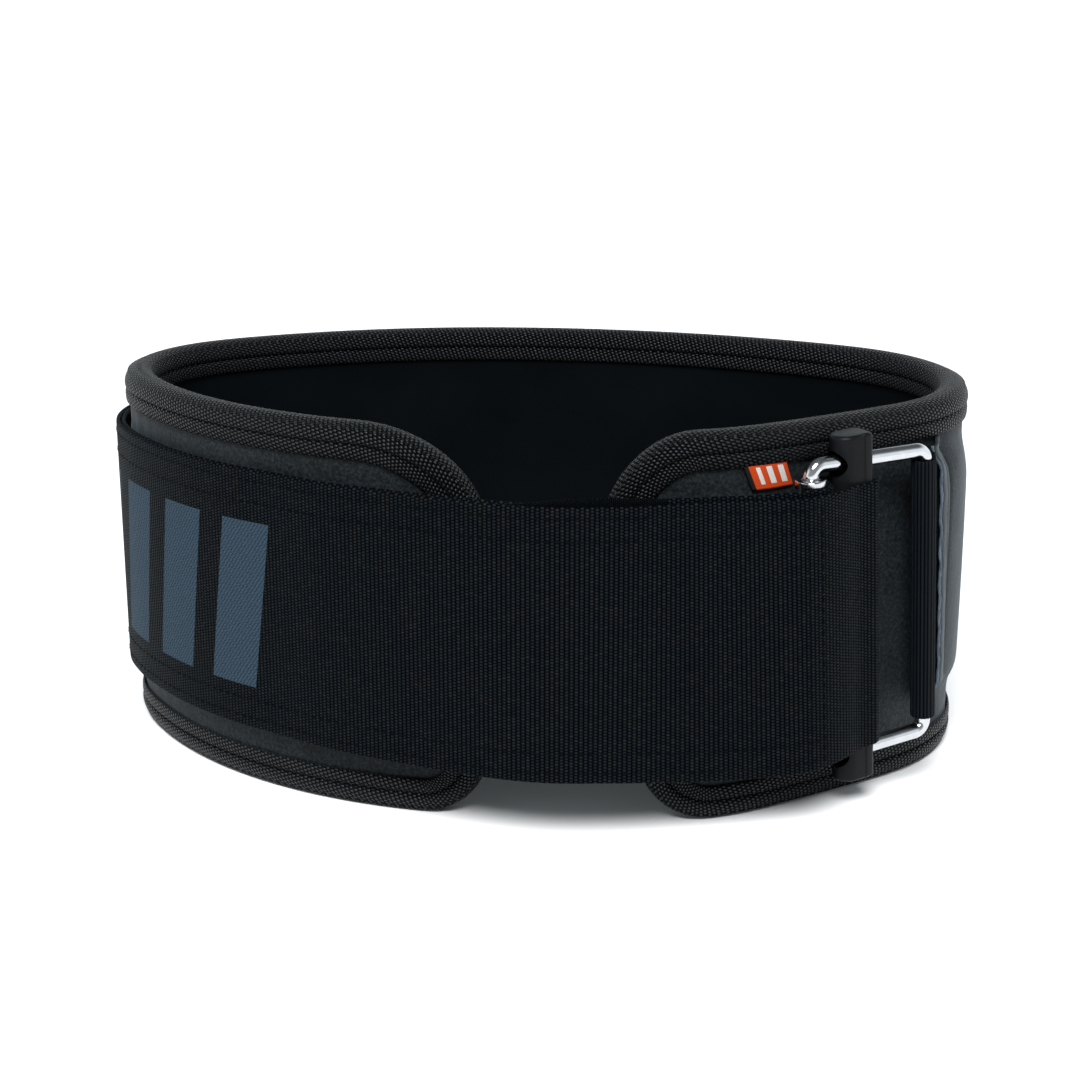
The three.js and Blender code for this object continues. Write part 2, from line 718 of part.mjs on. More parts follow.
// Folded woven tag sewn in under the upper binding, hanging aslant
function sideTag() {
  const top = BELT_HEIGHT - BINDING_REACH - CLEARANCE;
  const columns = 4;
  const rings = Array.from({ length: columns + 1 }, (_, i) => {
    const at = (down, offset) => {
      const s = TAG_PLACE + TAG_WIDTH * (i / columns) + TAG_SLANT * down;
      const z = top - TAG_DROP * down;
      return bend(s, panelFace(s, z) + CLEARANCE + offset, z);
    };
    return [at(0, 0), at(1, 0), at(1, TAG_THICKNESS), at(0, TAG_THICKNESS)];
  });
  return loft(rings);
}

function piece(name, geometry, finish) {
  const mesh = new THREE.Mesh(geometry, new THREE.MeshStandardMaterial(COLOURS[finish]));
  mesh.name = name;
  return mesh;
}

const belt = new THREE.Group();
belt.add(piece("padded_panel", paddedPanel(), "cover"));
belt.add(piece("inner_lining", innerLining(), "lining"));
belt.add(piece("edge_binding", edgeBinding(), "binding"));
belt.add(piece("strap", strap(), "webbing"));
belt.add(piece("hook_tape", hookTape(), "webbing"));
belt.add(piece("keeper_loop", keeperLoop(), "webbing"));
belt.add(piece("side_tag", sideTag(), "tag"));

const buckle = new THREE.Group();
buckle.position.copy(BUCKLE.origin);
buckle.rotation.set(0, radians(BUCKLE_LEAN), BUCKLE.heading, "ZYX");
buckle.add(piece("buckle_frame", buckleFrame(), "chrome"));
buckle.add(piece("roller_sleeve", rollerSleeve(), "chrome"));
buckle.add(piece("slider_post", sliderPost(), "plastic"));
belt.add(buckle);

// The origin lies on the floor under the middle of the belt
const whole = new THREE.Group();
whole.add(belt);
whole.updateMatrixWorld(true);
const box = new THREE.Box3().setFromObject(whole, true);
belt.position.set(-(box.min.x + box.max.x) / 2, -(box.min.y + box.max.y) / 2, 0);

export default whole;
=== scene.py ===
"""A fastened lifting belt: padded panel, bound edge, webbing strap and self-locking wire buckle."""

import math

import bmesh
import bpy
import numpy as np
from bpy.props import FloatProperty, FloatVectorProperty, PointerProperty
from mathutils import Matrix, Vector


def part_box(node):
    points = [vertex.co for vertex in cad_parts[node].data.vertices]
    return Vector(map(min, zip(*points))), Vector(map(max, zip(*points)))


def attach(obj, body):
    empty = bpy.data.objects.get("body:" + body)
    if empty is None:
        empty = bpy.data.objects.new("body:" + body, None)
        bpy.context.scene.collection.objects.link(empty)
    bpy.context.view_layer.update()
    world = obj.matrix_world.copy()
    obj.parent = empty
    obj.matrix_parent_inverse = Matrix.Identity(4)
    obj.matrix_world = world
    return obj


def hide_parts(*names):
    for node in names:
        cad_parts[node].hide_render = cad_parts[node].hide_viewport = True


bl_info = {
    "name": "Lifting belt",
    "version": (1, 0, 0),
    "blender": (4, 5, 0),
    "location": "View3D > Sidebar > Belt",
    "description": "Builds a padded lifting belt with a webbing strap and a self-locking wire buckle",
    "category": "Add Mesh",
}

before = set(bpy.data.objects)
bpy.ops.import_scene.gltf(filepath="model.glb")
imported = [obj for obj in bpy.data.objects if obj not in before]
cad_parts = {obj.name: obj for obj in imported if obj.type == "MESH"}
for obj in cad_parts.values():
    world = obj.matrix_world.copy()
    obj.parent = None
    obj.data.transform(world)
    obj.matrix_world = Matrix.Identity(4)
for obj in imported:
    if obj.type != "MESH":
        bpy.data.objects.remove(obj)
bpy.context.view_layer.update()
MM = 0.001

# The ring seen from above, from the right end round the back to the left end: each stretch's share of the
# belt's length, and how far it turns, in degrees
FIRST_HEADING = -16
PLAN_ARCS = (
    ("front right", 0.0743, 44.7),
    ("buckle side", 0.0854, 7.2),
    ("right side", 0.1651, 112.7),
    ("back right", 0.1949, 29.3),
    ("back left", 0.1551, 31.4),
    ("left side", 0.1043, 86.9),
    ("front left", 0.2209, 59.3),
)
ARC_EASE = 8 * MM
BUCKLE_LEAN = -3.5
BUCKLE_TOE = -3
UPPER_WIRE_FALL = 2.9
TAPE_FROM, TAPE_TO = 0.45, 0.76

# Rounded ends of the panel, as shares of the belt's height
ENDS = {
    "right": {"top_run": 0.245, "top_drop": 0.31, "bottom_run": 0.185, "bottom_rise": 0.185, "lean": 0.105},
    "left": {"top_run": 0.332, "top_drop": 0.277, "bottom_run": 0.166, "bottom_rise": 0.185, "lean": 0},
}

# The strap over the gap: place along the straight line, bow off it, and how far tape and buckle part the plies
BRIDGE = (
    {"along": 0.12, "bow": 0.38, "tape": 0, "spread": 0},
    {"along": 0.27, "bow": 0.69, "tape": 0.6, "spread": 0},
    {"along": 0.42, "bow": 0.93, "tape": 1, "spread": 0},
    {"along": 0.54, "bow": 1, "tape": 1, "spread": 0},
    {"along": 0.66, "bow": 0.86, "tape": 1, "spread": 0},
    {"along": 0.79, "bow": 0.55, "tape": 1, "spread": 0.2},
    {"along": 0.91, "bow": 0.25, "tape": 1, "spread": 0.6},
)

# How far the strap's top edge rises before the buckle, in millimetres: place, inner ply, outer ply
STRAP_RISE = (
    (15, 0, 0),
    (25, 0.8, 0.3),
    (36, 2.0, 1.1),
    (49, 2.5, 2.2),
    (65, 2.1, 1.9),
    (79, 1.1, 0.8),
    (92, 0, 0),
)

BAR_COUNT = 5


def length_property(name, default, description):
    """A size in metres, with the unit shown in the sidebar."""
    return FloatProperty(name=name, description=description, default=default, min=0, unit="LENGTH", precision=4)


def colour_property(name, default, description):
    """A colour in linear values."""
    return FloatVectorProperty(
        name=name, description=description, default=default, size=3, min=0, max=1, subtype="COLOR"
    )


class BeltSizes(bpy.types.PropertyGroup):
    """Sizes of the belt's pieces."""

    belt_length: length_property("Belt length", 589 * MM, "Length of the padded panel along its middle")
    belt_height: length_property("Belt height", 108.4 * MM, "Height of the panel with its binding")
    edge_thickness: length_property("Edge thickness", 9 * MM, "Thickness over the bound edge")
    binding_wall: length_property("Binding wall", 1 * MM, "Thickness of the binding tape")
    binding_reach: length_property("Binding reach", 10 * MM, "How far the binding folds over each face")
    stitch_line: length_property("Stitch line", 5.6 * MM, "Distance of the binding's stitches from the edge")
    lining_thickness: length_property("Lining thickness", 1 * MM, "Thickness of the inner lining")
    panel_crown: length_property("Panel crown", 1.2 * MM, "How far the padded cover swells")
    lining_crown: length_property("Lining crown", 0.5 * MM, "How far the lining swells")
    swell_start: length_property("Swell start", 5 * MM, "Distance from the binding to where the cover swells")
    crown_run: length_property("Crown run", 12 * MM, "Distance over which the cover swells")
    clearance: length_property("Clearance", 0.3 * MM, "Gap between neighbouring pieces")
    strap_width: length_property("Strap width", 75 * MM, "Width of the webbing")
    strap_thickness: length_property("Strap thickness", 1.3 * MM, "Thickness of the webbing")
    strap_lift: length_property("Strap lift", 18 * MM, "Height of the strap's lower edge")
    strap_leaves: length_property("Strap leaves", 60 * MM, "Where the strap leaves the panel, from its left end")
    free_end_reach: length_property("Free end reach", 190 * MM, "Where the outer ply ends, from the left end")
    sewn_end_reach: length_property("Sewn end reach", 235 * MM, "Where the inner ply is sewn, from the left end")
    strap_bow: length_property("Strap bow", 21 * MM, "Bow of the strap over the gap")
    ply_spread: length_property("Ply spread", 2 * MM, "Extra gap between the plies at the buckle")
    tape_thickness: length_property("Tape thickness", 1.2 * MM, "Thickness of the hook tape")
    tape_rise: length_property("Tape rise", 1.7 * MM, "How far the hook tape stands above the strap")
    buckle_place: length_property("Buckle place", 67.6 * MM, "Place of the post, from the panel's right end")
    buckle_raise: length_property("Buckle raise", 1.4 * MM, "How far the buckle's middle is above the strap's")
    frame_height: length_property("Frame height", 83 * MM, "Height between the middles of the cross wires")
    frame_width: length_property("Frame width", 37.5 * MM, "Width between the middles of the frame's bars")
    wire_diameter: length_property("Wire diameter", 4.3 * MM, "Diameter of the frame's wire")
    wire_bend: length_property("Wire bend", 3.2 * MM, "Radius of the wire's bends")
    post_to_sleeve: length_property("Post to sleeve", 12.4 * MM, "From the post's middle to the left bar")
    post_width: length_property("Post width", 11 * MM, "Width of the sliding post")
    post_depth: length_property("Post depth", 8.4 * MM, "Depth of the sliding post")
    post_height: length_property("Post height", 98.5 * MM, "Height of the sliding post")
    post_corner: length_property("Post corner", 2 * MM, "Radius of the post's right corners")
    post_hole_play: length_property("Post hole play", 3.1 * MM, "How much wider the post's bores are than the wire")
    sleeve_diameter: length_property("Sleeve diameter", 8.4 * MM, "Outer diameter of the sleeve")
    sleeve_play: length_property("Sleeve play", 0.6 * MM, "How much wider the sleeve's bore is than the wire")
    hump_rise: length_property("Hump rise", 4.5 * MM, "How far the outer ply stands over the sleeve")
    hump_reach: length_property("Hump reach", 9 * MM, "How far left of the sleeve the hump peaks")
    keeper_thickness: length_property("Keeper thickness", 1 * MM, "Thickness of the keeper webbing")
    keeper_width: length_property("Keeper width", 75 * MM, "Width of the keeper webbing")
    slit_lead: length_property("Slit lead", 9.8 * MM, "From the frame's right bar to the slit")
    slit_height: length_property("Slit height", 76 * MM, "Height of the slit in the cover")
    slit_run: length_property("Slit run", 40 * MM, "Distance over which the cover sinks back behind the slit")
    tag_place: length_property("Tag place", 36.8 * MM, "Place of the side tag, from the panel's right end")
    tag_width: length_property("Tag width", 12.5 * MM, "Width of the side tag")
    tag_drop: length_property("Tag drop", 7.6 * MM, "How far the side tag hangs")
    tag_slant: length_property("Tag slant", 3 * MM, "How far the tag's lower edge falls to the right")
    tag_thickness: length_property("Tag thickness", 0.8 * MM, "Thickness of the folded tag")


class BeltColours(bpy.types.PropertyGroup):
    """Colours of the belt's materials."""

    cover: colour_property("Cover", (0.0105, 0.0132, 0.0152), "Brushed cover of the panel")
    lining: colour_property("Lining", (0.0021, 0.0030, 0.0038), "Inside of the panel")
    binding: colour_property("Binding", (0.0042, 0.0056, 0.0068), "Woven edge tape")
    webbing: colour_property("Webbing", (0.0040, 0.0054, 0.0066), "Strap webbing")
    bars: colour_property("Bars", (0.027, 0.046, 0.066), "Plain bars woven into the strap")
    thread: colour_property("Thread", (0.0012, 0.0018, 0.0026), "Sewing thread")
    slit_edge: colour_property("Slit edge", (0.100, 0.130, 0.165), "Cut edge of the cover at the slit")
    tag_ground: colour_property("Tag ground", (0.66, 0.070, 0.012), "Ground of the side tag")
    tag_print: colour_property("Tag print", (0.78, 0.76, 0.74), "Plain bars on the side tag")
    plate: colour_property("Plate", (0.66, 0.67, 0.69), "Nickel plate of the buckle")
    plastic: colour_property("Plastic", (0.0034, 0.0041, 0.0050), "Moulded plastic of the post")
    floor: colour_property("Floor", (0.92, 0.93, 0.94), "Floor under the belt")


def smooth(low, high, value):
    """Zero below low, one above high, and a soft step between."""
    share = np.clip((np.asarray(value, float) - low) / (high - low), 0, 1)
    return share * share * (3 - 2 * share)


def turned(vector, angle):
    """Plan vectors turned by an angle."""
    vector = np.asarray(vector, float)
    c, s = math.cos(angle), math.sin(angle)
    return np.stack([vector[..., 0] * c - vector[..., 1] * s, vector[..., 0] * s + vector[..., 1] * c], -1)


def directions(path):
    """Unit directions along a path of plan points."""
    step = np.gradient(np.asarray(path, float), axis=0)
    return step / np.linalg.norm(step, axis=1, keepdims=True)


def run_along(path):
    """Distance run at each point of a path."""
    steps = np.linalg.norm(np.diff(path, axis=0), axis=1)
    return np.concatenate([[0], np.cumsum(steps)])


def respaced(path, spacing):
    """The same path with evenly spaced points."""
    run = run_along(path)
    count = max(2, int(math.ceil(run[-1] / spacing)) + 1)
    at = np.linspace(0, run[-1], count)
    return np.stack([np.interp(at, run, path[:, k]) for k in range(path.shape[1])], -1)


def splined(points, spacing=0.5 * MM):
    """A centripetal curve through plan points."""
    points = np.asarray(points, float)
    ends = [2 * points[0] - points[1], *points, 2 * points[-1] - points[-2]]
    curve = []
    for a, b, c, d in zip(ends, ends[1:], ends[2:], ends[3:]):
        knots = [0.0]
        for p, q in ((a, b), (b, c), (c, d)):
            knots.append(knots[-1] + max(np.linalg.norm(q - p), 1e-7) ** 0.5)
        t = np.linspace(knots[1], knots[2], 40, endpoint=False)[:, None]

        def between(p, q, low, high):
            return ((high - t) * p + (t - low) * q) / (high - low)

        ab = between(a, b, knots[0], knots[1])
        bc = between(b, c, knots[1], knots[2])
        cd = between(c, d, knots[2], knots[3])
        abc = between(ab, bc, knots[0], knots[2])
        bcd = between(bc, cd, knots[1], knots[3])
        curve.append(between(abc, bcd, knots[1], knots[2]))
    return respaced(np.concatenate([*curve, points[-1:]]), spacing)


class BeltForm:
    """Where everything on the belt lies, worked out from its sizes and set in the frame."""

    def __init__(self, sizes):
        self.sizes = sizes
        self.half_edge = sizes.edge_thickness / 2
        self.binding_inner = self.half_edge - sizes.binding_wall
        self.panel_face = self.binding_inner - sizes.clearance
        self.lining_back = -self.panel_face + sizes.lining_thickness
        self.panel_back = self.lining_back + sizes.clearance
        self.rim_inset = sizes.binding_wall + sizes.clearance
        self.body_face = max(self.half_edge, self.panel_face + sizes.panel_crown)
        self.buckle_middle = sizes.strap_lift + sizes.strap_width / 2 + sizes.buckle_raise
        self.sleeve_x = -sizes.post_to_sleeve
        self.bar_x = sizes.frame_width - sizes.post_to_sleeve
        self.slit_place = sizes.buckle_place + self.bar_x + sizes.slit_lead
        self.lean = math.radians(BUCKLE_LEAN)
        self._draw_plan()
        self._place_buckle()

    def _heading(self, s):
        offsets = np.linspace(-ARC_EASE, ARC_EASE, 9)
        total = 0
        for offset in offsets:
            at = 0
            heading = FIRST_HEADING
            for _, share, turn in PLAN_ARCS:
                run = share * self.sizes.belt_length
                heading = heading + turn * np.clip((s + offset - at) / run, 0, 1)
                at += run
            total = total + np.radians(heading)
        return total / len(offsets)

    def _draw_plan(self):
        length = self.sizes.belt_length
        count = int(math.ceil(length / MM))
        self.places = np.linspace(0, length, count + 1)
        step = length / count
        middles = self._heading(self.places[:-1] + step / 2)
        self.plan_x = np.concatenate([[0], np.cumsum(step * np.cos(middles))])
        self.plan_y = np.concatenate([[0], np.cumsum(step * np.sin(middles))])
        self.plan_heading = self._heading(self.places)
        rims = np.concatenate([self.bend(self.places, side * self.half_edge, 0) for side in (-1, 1)])
        low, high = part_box("edge_binding")
        self.plan_x += (low[0] + high[0] - rims[:, 0].min() - rims[:, 0].max()) / 2
        self.plan_y += (low[1] + high[1] - rims[:, 1].min() - rims[:, 1].max()) / 2

    def heading_at(self, s):
        return np.interp(s, self.places, self.plan_heading)

    def bend(self, s, n, z):
        """Points s along the panel, n off its middle surface and z above the floor."""
        s, n, z = np.broadcast_arrays(np.asarray(s, float), n, z)
        heading = self.heading_at(s)
        x = np.interp(s, self.places, self.plan_x) + n * np.sin(heading)
        y = np.interp(s, self.places, self.plan_y) - n * np.cos(heading)
        return np.stack([x, y, z], -1)

    def _place_buckle(self):
        sizes = self.sizes
        stand_off = self.body_face + 2 * sizes.clearance + sizes.strap_thickness + sizes.post_depth / 2
        self.buckle_origin = self.bend(sizes.buckle_place, stand_off, self.buckle_middle)
        self.buckle_heading = float(self.heading_at(sizes.buckle_place)) + math.radians(BUCKLE_TOE)

    def from_buckle(self, x, y):
        return turned(np.stack(np.broadcast_arrays(x, y), -1), self.buckle_heading) + self.buckle_origin[:2]

    def to_buckle(self, plan):
        return turned(np.asarray(plan)[..., :2] - self.buckle_origin[:2], -self.buckle_heading)

    def buckle_matrix(self):
        turn = Matrix.Rotation(self.buckle_heading, 4, "Z") @ Matrix.Rotation(self.lean, 4, "Y")
        return Matrix.Translation(Vector(self.buckle_origin)) @ turn

    def leaned(self, plan, z):
        """Webbing near the buckle leans with it."""
        plan, z = np.asarray(plan, float), np.asarray(z, float)
        local = self.to_buckle(plan)
        full = self.sleeve_x - self.sizes.sleeve_diameter
        turn = self.lean * smooth(full - 55 * MM, full, local[..., 0])
        up = z - self.buckle_middle
        moved = self.from_buckle(local[..., 0] * np.cos(turn) + up * np.sin(turn), local[..., 1])
        raised = self.buckle_middle + up * np.cos(turn) - local[..., 0] * np.sin(turn)
        return np.concatenate([moved, raised[..., None]], -1)

    def edge_paths(self, inset, corner_steps=20, spacing=3 * MM):
        """The panel's lower and upper edge as places (s, z), pushed in by an inset, of equal counts."""
        height, length = self.sizes.belt_height, self.sizes.belt_length
        right = {key: share * height for key, share in ENDS["right"].items()}
        left = {key: share * height for key, share in ENDS["left"].items()}

        def rounded(from_end, run, rise):
            share = np.clip((from_end - inset) / (run - inset), 0, 1)
            return inset + (rise - inset) * (1 - np.sqrt(1 - (1 - share) ** 2))

        right_reach = max(right["top_run"], right["lean"] + right["bottom_run"])
        left_reach = max(left["top_run"], left["bottom_run"])
        eased = 1 - np.cos(np.linspace(0, math.pi / 2, corner_steps, endpoint=False))
        high_in = inset + (right_reach - inset) * eased
        low_in = inset + right["lean"] + (right_reach - inset - right["lean"]) * eased
        count = int((length - right_reach - left_reach) / spacing)
        straight = np.linspace(right_reach, length - left_reach, count)
        out = (inset + (left_reach - inset) * eased)[::-1]
        low_s = np.concatenate([low_in, straight, length - out])
        high_s = np.concatenate([high_in, straight, length - out])
        low_z = np.concatenate(
            [
                rounded(low_in - right["lean"], right["bottom_run"], right["bottom_rise"]),
                np.full(count, inset),
                rounded(out, left["bottom_run"], left["bottom_rise"]),
            ]
        )
        high_z = height - np.concatenate(
            [
                rounded(high_in, right["top_run"], right["top_drop"]),
                np.full(count, inset),
                rounded(out, left["top_run"], left["top_drop"]),
            ]
        )
        return np.stack([low_s, low_z], -1), np.stack([high_s, high_z], -1)

    def outline(self, spacing=2 * MM):
        """The panel's whole outline as evenly spaced places (s, z), run round once."""
        low, high = self.edge_paths(0)
        loop = np.concatenate([low, high[::-1], low[:1]])
        return respaced(loop, spacing)[:-1]

    def edge_distance(self, s, z):
        if not hasattr(self, "_outline"):
            self._outline = self.outline(1.5 * MM)
        places = np.stack([np.ravel(s), np.ravel(z)], -1)
        nearest = [np.sqrt(((self._outline - place) ** 2).sum(1).min()) for place in places]
        return np.array(nearest).reshape(np.shape(s))

    def swell(self, s, z):
        start = self.sizes.binding_reach + self.sizes.swell_start
        return smooth(start, start + self.sizes.crown_run, self.edge_distance(s, z))

    def slit_at(self, z):
        return self.slit_place + (np.asarray(z) - self.buckle_middle) * math.tan(self.lean)

    def slit_window(self, z):
        off = np.abs(np.asarray(z) - self.buckle_middle)
        half = self.sizes.slit_height / 2
        return 1 - smooth(half - 7 * MM, half, off)

    def slit_raise(self, s, z):
        rise = 2 * self.sizes.keeper_thickness + 2 * self.sizes.clearance
        beyond = s - self.slit_at(z)
        along = 1 - smooth(0, self.sizes.slit_run, beyond)
        return np.where(beyond < 0, 0, rise * along * self.slit_window(z))

    def panel_offset(self, s, z):
        return self.panel_face + self.sizes.panel_crown * self.swell(s, z) + self.slit_raise(s, z)

    def wrinkles(self, s, z):
        """Shallow creases where the binding gathers the cover."""
        depth = self.edge_distance(s, z) - self.sizes.binding_reach
        near = smooth(0, 2 * MM, depth) * (1 - smooth(5 * MM, 17 * MM, depth))
        swing = s / (1.25 * MM) + 2.2 * np.sin(s / (13 * MM)) + z / (9 * MM)
        return 0.16 * MM * near * np.sin(swing) * (0.6 + 0.4 * np.sin(s / (21 * MM)))

    def buckle_arc(self, x, y, radius, start, stop):
        angles = np.radians(np.linspace(start, stop, max(3, int(abs(stop - start) / 4))))
        return self.from_buckle(x + radius * np.cos(angles), y + radius * np.sin(angles))

    def strap_path(self):
        """Both plies from above, from the sewn end round the post to the free end, and the bridge's ends."""
        sizes = self.sizes
        half = sizes.strap_thickness / 2
        pitch = sizes.strap_thickness + sizes.clearance
        tape_pitch = sizes.tape_thickness + sizes.clearance
        inner_offset = self.body_face + sizes.clearance + half
        outer_offset = inner_offset + pitch
        stick = sizes.clearance + half
        sleeve_wrap = sizes.sleeve_diameter / 2 + stick
        post_wrap = sizes.post_depth / 2 + stick
        post_round = -sizes.post_width / 2 + sizes.post_depth / 2
        hump_top = sleeve_wrap + sizes.hump_rise
        hump_x = self.sleeve_x - sizes.hump_reach

        def along(reach, offset):
            count = int(math.ceil((reach - sizes.strap_leaves) / (14 * MM)))
            back = np.linspace(reach, sizes.strap_leaves, count, endpoint=False)
            return self.bend(sizes.belt_length - back, offset, 0)[:, :2]

        leaves = sizes.belt_length - sizes.strap_leaves
        start = self.bend(leaves, outer_offset, 0)[:2]
        end = self.from_buckle(hump_x, -hump_top)
        chord = end - start
        off = turned(chord / np.linalg.norm(chord), -math.pi / 2)
        rows = [*BRIDGE, {"tape": 1, "spread": 1}]
        bridge = np.array([start + chord * row["along"] + off * row["bow"] * sizes.strap_bow for row in BRIDGE])
        outer_bridge = np.concatenate([bridge, [end]])
        before = np.concatenate([[start], outer_bridge[:-1]])
        after = np.concatenate([outer_bridge[1:], [end]])
        facing = (after - before) / np.linalg.norm(after - before, axis=1, keepdims=True)
        parted = np.array([pitch + row["tape"] * tape_pitch + row["spread"] * sizes.ply_spread for row in rows])
        inner_bridge = outer_bridge + turned(facing, math.pi / 2) * parted[:, None]
        inner = splined(
            [
                *along(sizes.sewn_end_reach, inner_offset),
                self.bend(leaves, inner_offset, 0)[:2],
                *inner_bridge,
                self.from_buckle(self.sleeve_x - sizes.sleeve_diameter / 2, -sleeve_wrap + half / 2),
                self.from_buckle(self.sleeve_x, -sleeve_wrap),
            ]
        )
        slant = math.degrees(math.asin((sleeve_wrap + post_wrap) / (post_round - self.sleeve_x)))
        corner_x = sizes.post_width / 2 - sizes.post_corner
        corner_y = sizes.post_depth / 2 - sizes.post_corner
        corner_wrap = sizes.post_corner + stick
        wrap = np.concatenate(
            [
                self.buckle_arc(self.sleeve_x, 0, sleeve_wrap, -90, slant - 90)[1:],
                self.buckle_arc(post_round, 0, post_wrap, 90 + slant, 90),
                self.buckle_arc(corner_x, corner_y, corner_wrap, 90, 0),
                self.buckle_arc(corner_x, -corner_y, corner_wrap, 0, -90),
            ]
        )
        mixed = lambda a, b, share: a + (b - a) * share
        outer = splined(
            [
                self.from_buckle(corner_x, -post_wrap),
                self.from_buckle(post_round, -post_wrap - half / 2),
                self.from_buckle(mixed(post_round, self.sleeve_x, 0.6), -mixed(post_wrap, hump_top, 0.6)),
                self.from_buckle(mixed(self.sleeve_x, hump_x, 0.25), -mixed(post_wrap, hump_top, 0.92)),
                *outer_bridge[::-1],
                start,
                *along(sizes.free_end_reach, outer_offset)[::-1],
            ]
        )
        whole = np.concatenate([inner, wrap, outer[1:]])
        turn_at = run_along(whole)[len(inner) + len(wrap)]
        return {"whole": whole, "outer": outer, "outer_from": turn_at, "start": start, "chord": chord}

    def keeper_path(self):
        """The keeper webbing from above, from one tail round the right bar to the other tail."""
        sizes = self.sizes
        half = sizes.keeper_thickness / 2
        wrap = sizes.wire_diameter / 2 + sizes.clearance + half
        slit = self.slit_place - 3 * sizes.clearance
        low_offset = self.panel_face + sizes.panel_crown + sizes.clearance + half
        low = self.to_buckle(self.bend(slit, low_offset, 0))
        high = self.to_buckle(self.bend(slit, low_offset + sizes.keeper_thickness + sizes.clearance, 0))

        def touch(point, side):
            reach = math.hypot(point[0] - self.bar_x, point[1])
            toward = math.atan2(point[1], point[0] - self.bar_x)
            return math.degrees(toward + side * math.acos(wrap / reach))

        arc = self.buckle_arc(self.bar_x, 0, wrap, touch(low, 1), 360 + touch(high, -1))
        return np.concatenate([[self.from_buckle(*low)], arc, [self.from_buckle(*high)]])


def new_mesh(name, points, faces, uvs=None, smooth_shading=True):
    """An object from points, faces and a pair of UV values for each point."""
    mesh = bpy.data.meshes.new(name)
    mesh.from_pydata(np.asarray(points).tolist(), [], [list(map(int, face)) for face in faces])
    mesh.validate()
    if uvs is not None:
        layer = mesh.uv_layers.new(name="surface")
        corner_points = np.zeros(len(mesh.loops), dtype=np.int64)
        mesh.loops.foreach_get("vertex_index", corner_points)
        layer.data.foreach_set("uv", np.asarray(uvs, dtype=np.float32)[corner_points].ravel())
    mesh.polygons.foreach_set("use_smooth", [smooth_shading] * len(mesh.polygons))
    mesh.update()
    made = bpy.data.objects.new(name, mesh)
    bpy.context.scene.collection.objects.link(made)
    return made


def face_out(made):
    """Turn a closed mesh's faces outwards."""
    work = bmesh.new()
    work.from_mesh(made.data)
    bmesh.ops.recalc_face_normals(work, faces=work.faces)
    if work.calc_volume(signed=True) < 0:
        bmesh.ops.reverse_faces(work, faces=work.faces)
    work.to_mesh(made.data)
    work.free()
    return made


def lofted(name, rings, uvs=None, closed_run=False, open_ring=False, smooth_shading=True):
    """A body through rings of points, an array of stations by points. Its open run is closed by end faces."""
    rings = np.asarray(rings, float)
    stations, size = rings.shape[:2]
    index = np.arange(stations * size).reshape(stations, size)
    following = np.roll(index, -1, axis=0) if closed_run else index[1:]
    current = index if closed_run else index[:-1]
    if open_ring:
        quads = np.stack([current[:, :-1], following[:, :-1], following[:, 1:], current[:, 1:]], -1)
    else:
        quads = np.stack(
            [current, following, np.roll(following, -1, axis=1), np.roll(current, -1, axis=1)], -1
        )
    faces = quads.reshape(-1, 4).tolist()
    if not closed_run and not open_ring:
        faces.append(index[0].tolist())
        faces.append(index[-1][::-1].tolist())
    flat_uvs = None if uvs is None else np.asarray(uvs, float).reshape(-1, 2)
    made = new_mesh(name, rings.reshape(-1, 3), faces, flat_uvs, smooth_shading)
    return face_out(made)


def applied(made):
    """The object's modifiers turned into plain mesh."""
    graph = bpy.context.evaluated_depsgraph_get()
    mesh = bpy.data.meshes.new_from_object(made.evaluated_get(graph), depsgraph=graph)
    made.modifiers.clear()
    made.data = mesh
    return made


def in_place(made, matrix):
    """Move the mesh itself, so that the object stays at the origin."""
    made.data.transform(matrix)
    made.data.update()
    return made


def finished(made, material, replaced=()):
    """Give a piece its material and its body."""
    made.data.materials.clear()
    made.data.materials.append(material)
    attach(made, "root")
    if replaced:
        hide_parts(*replaced)
    return made


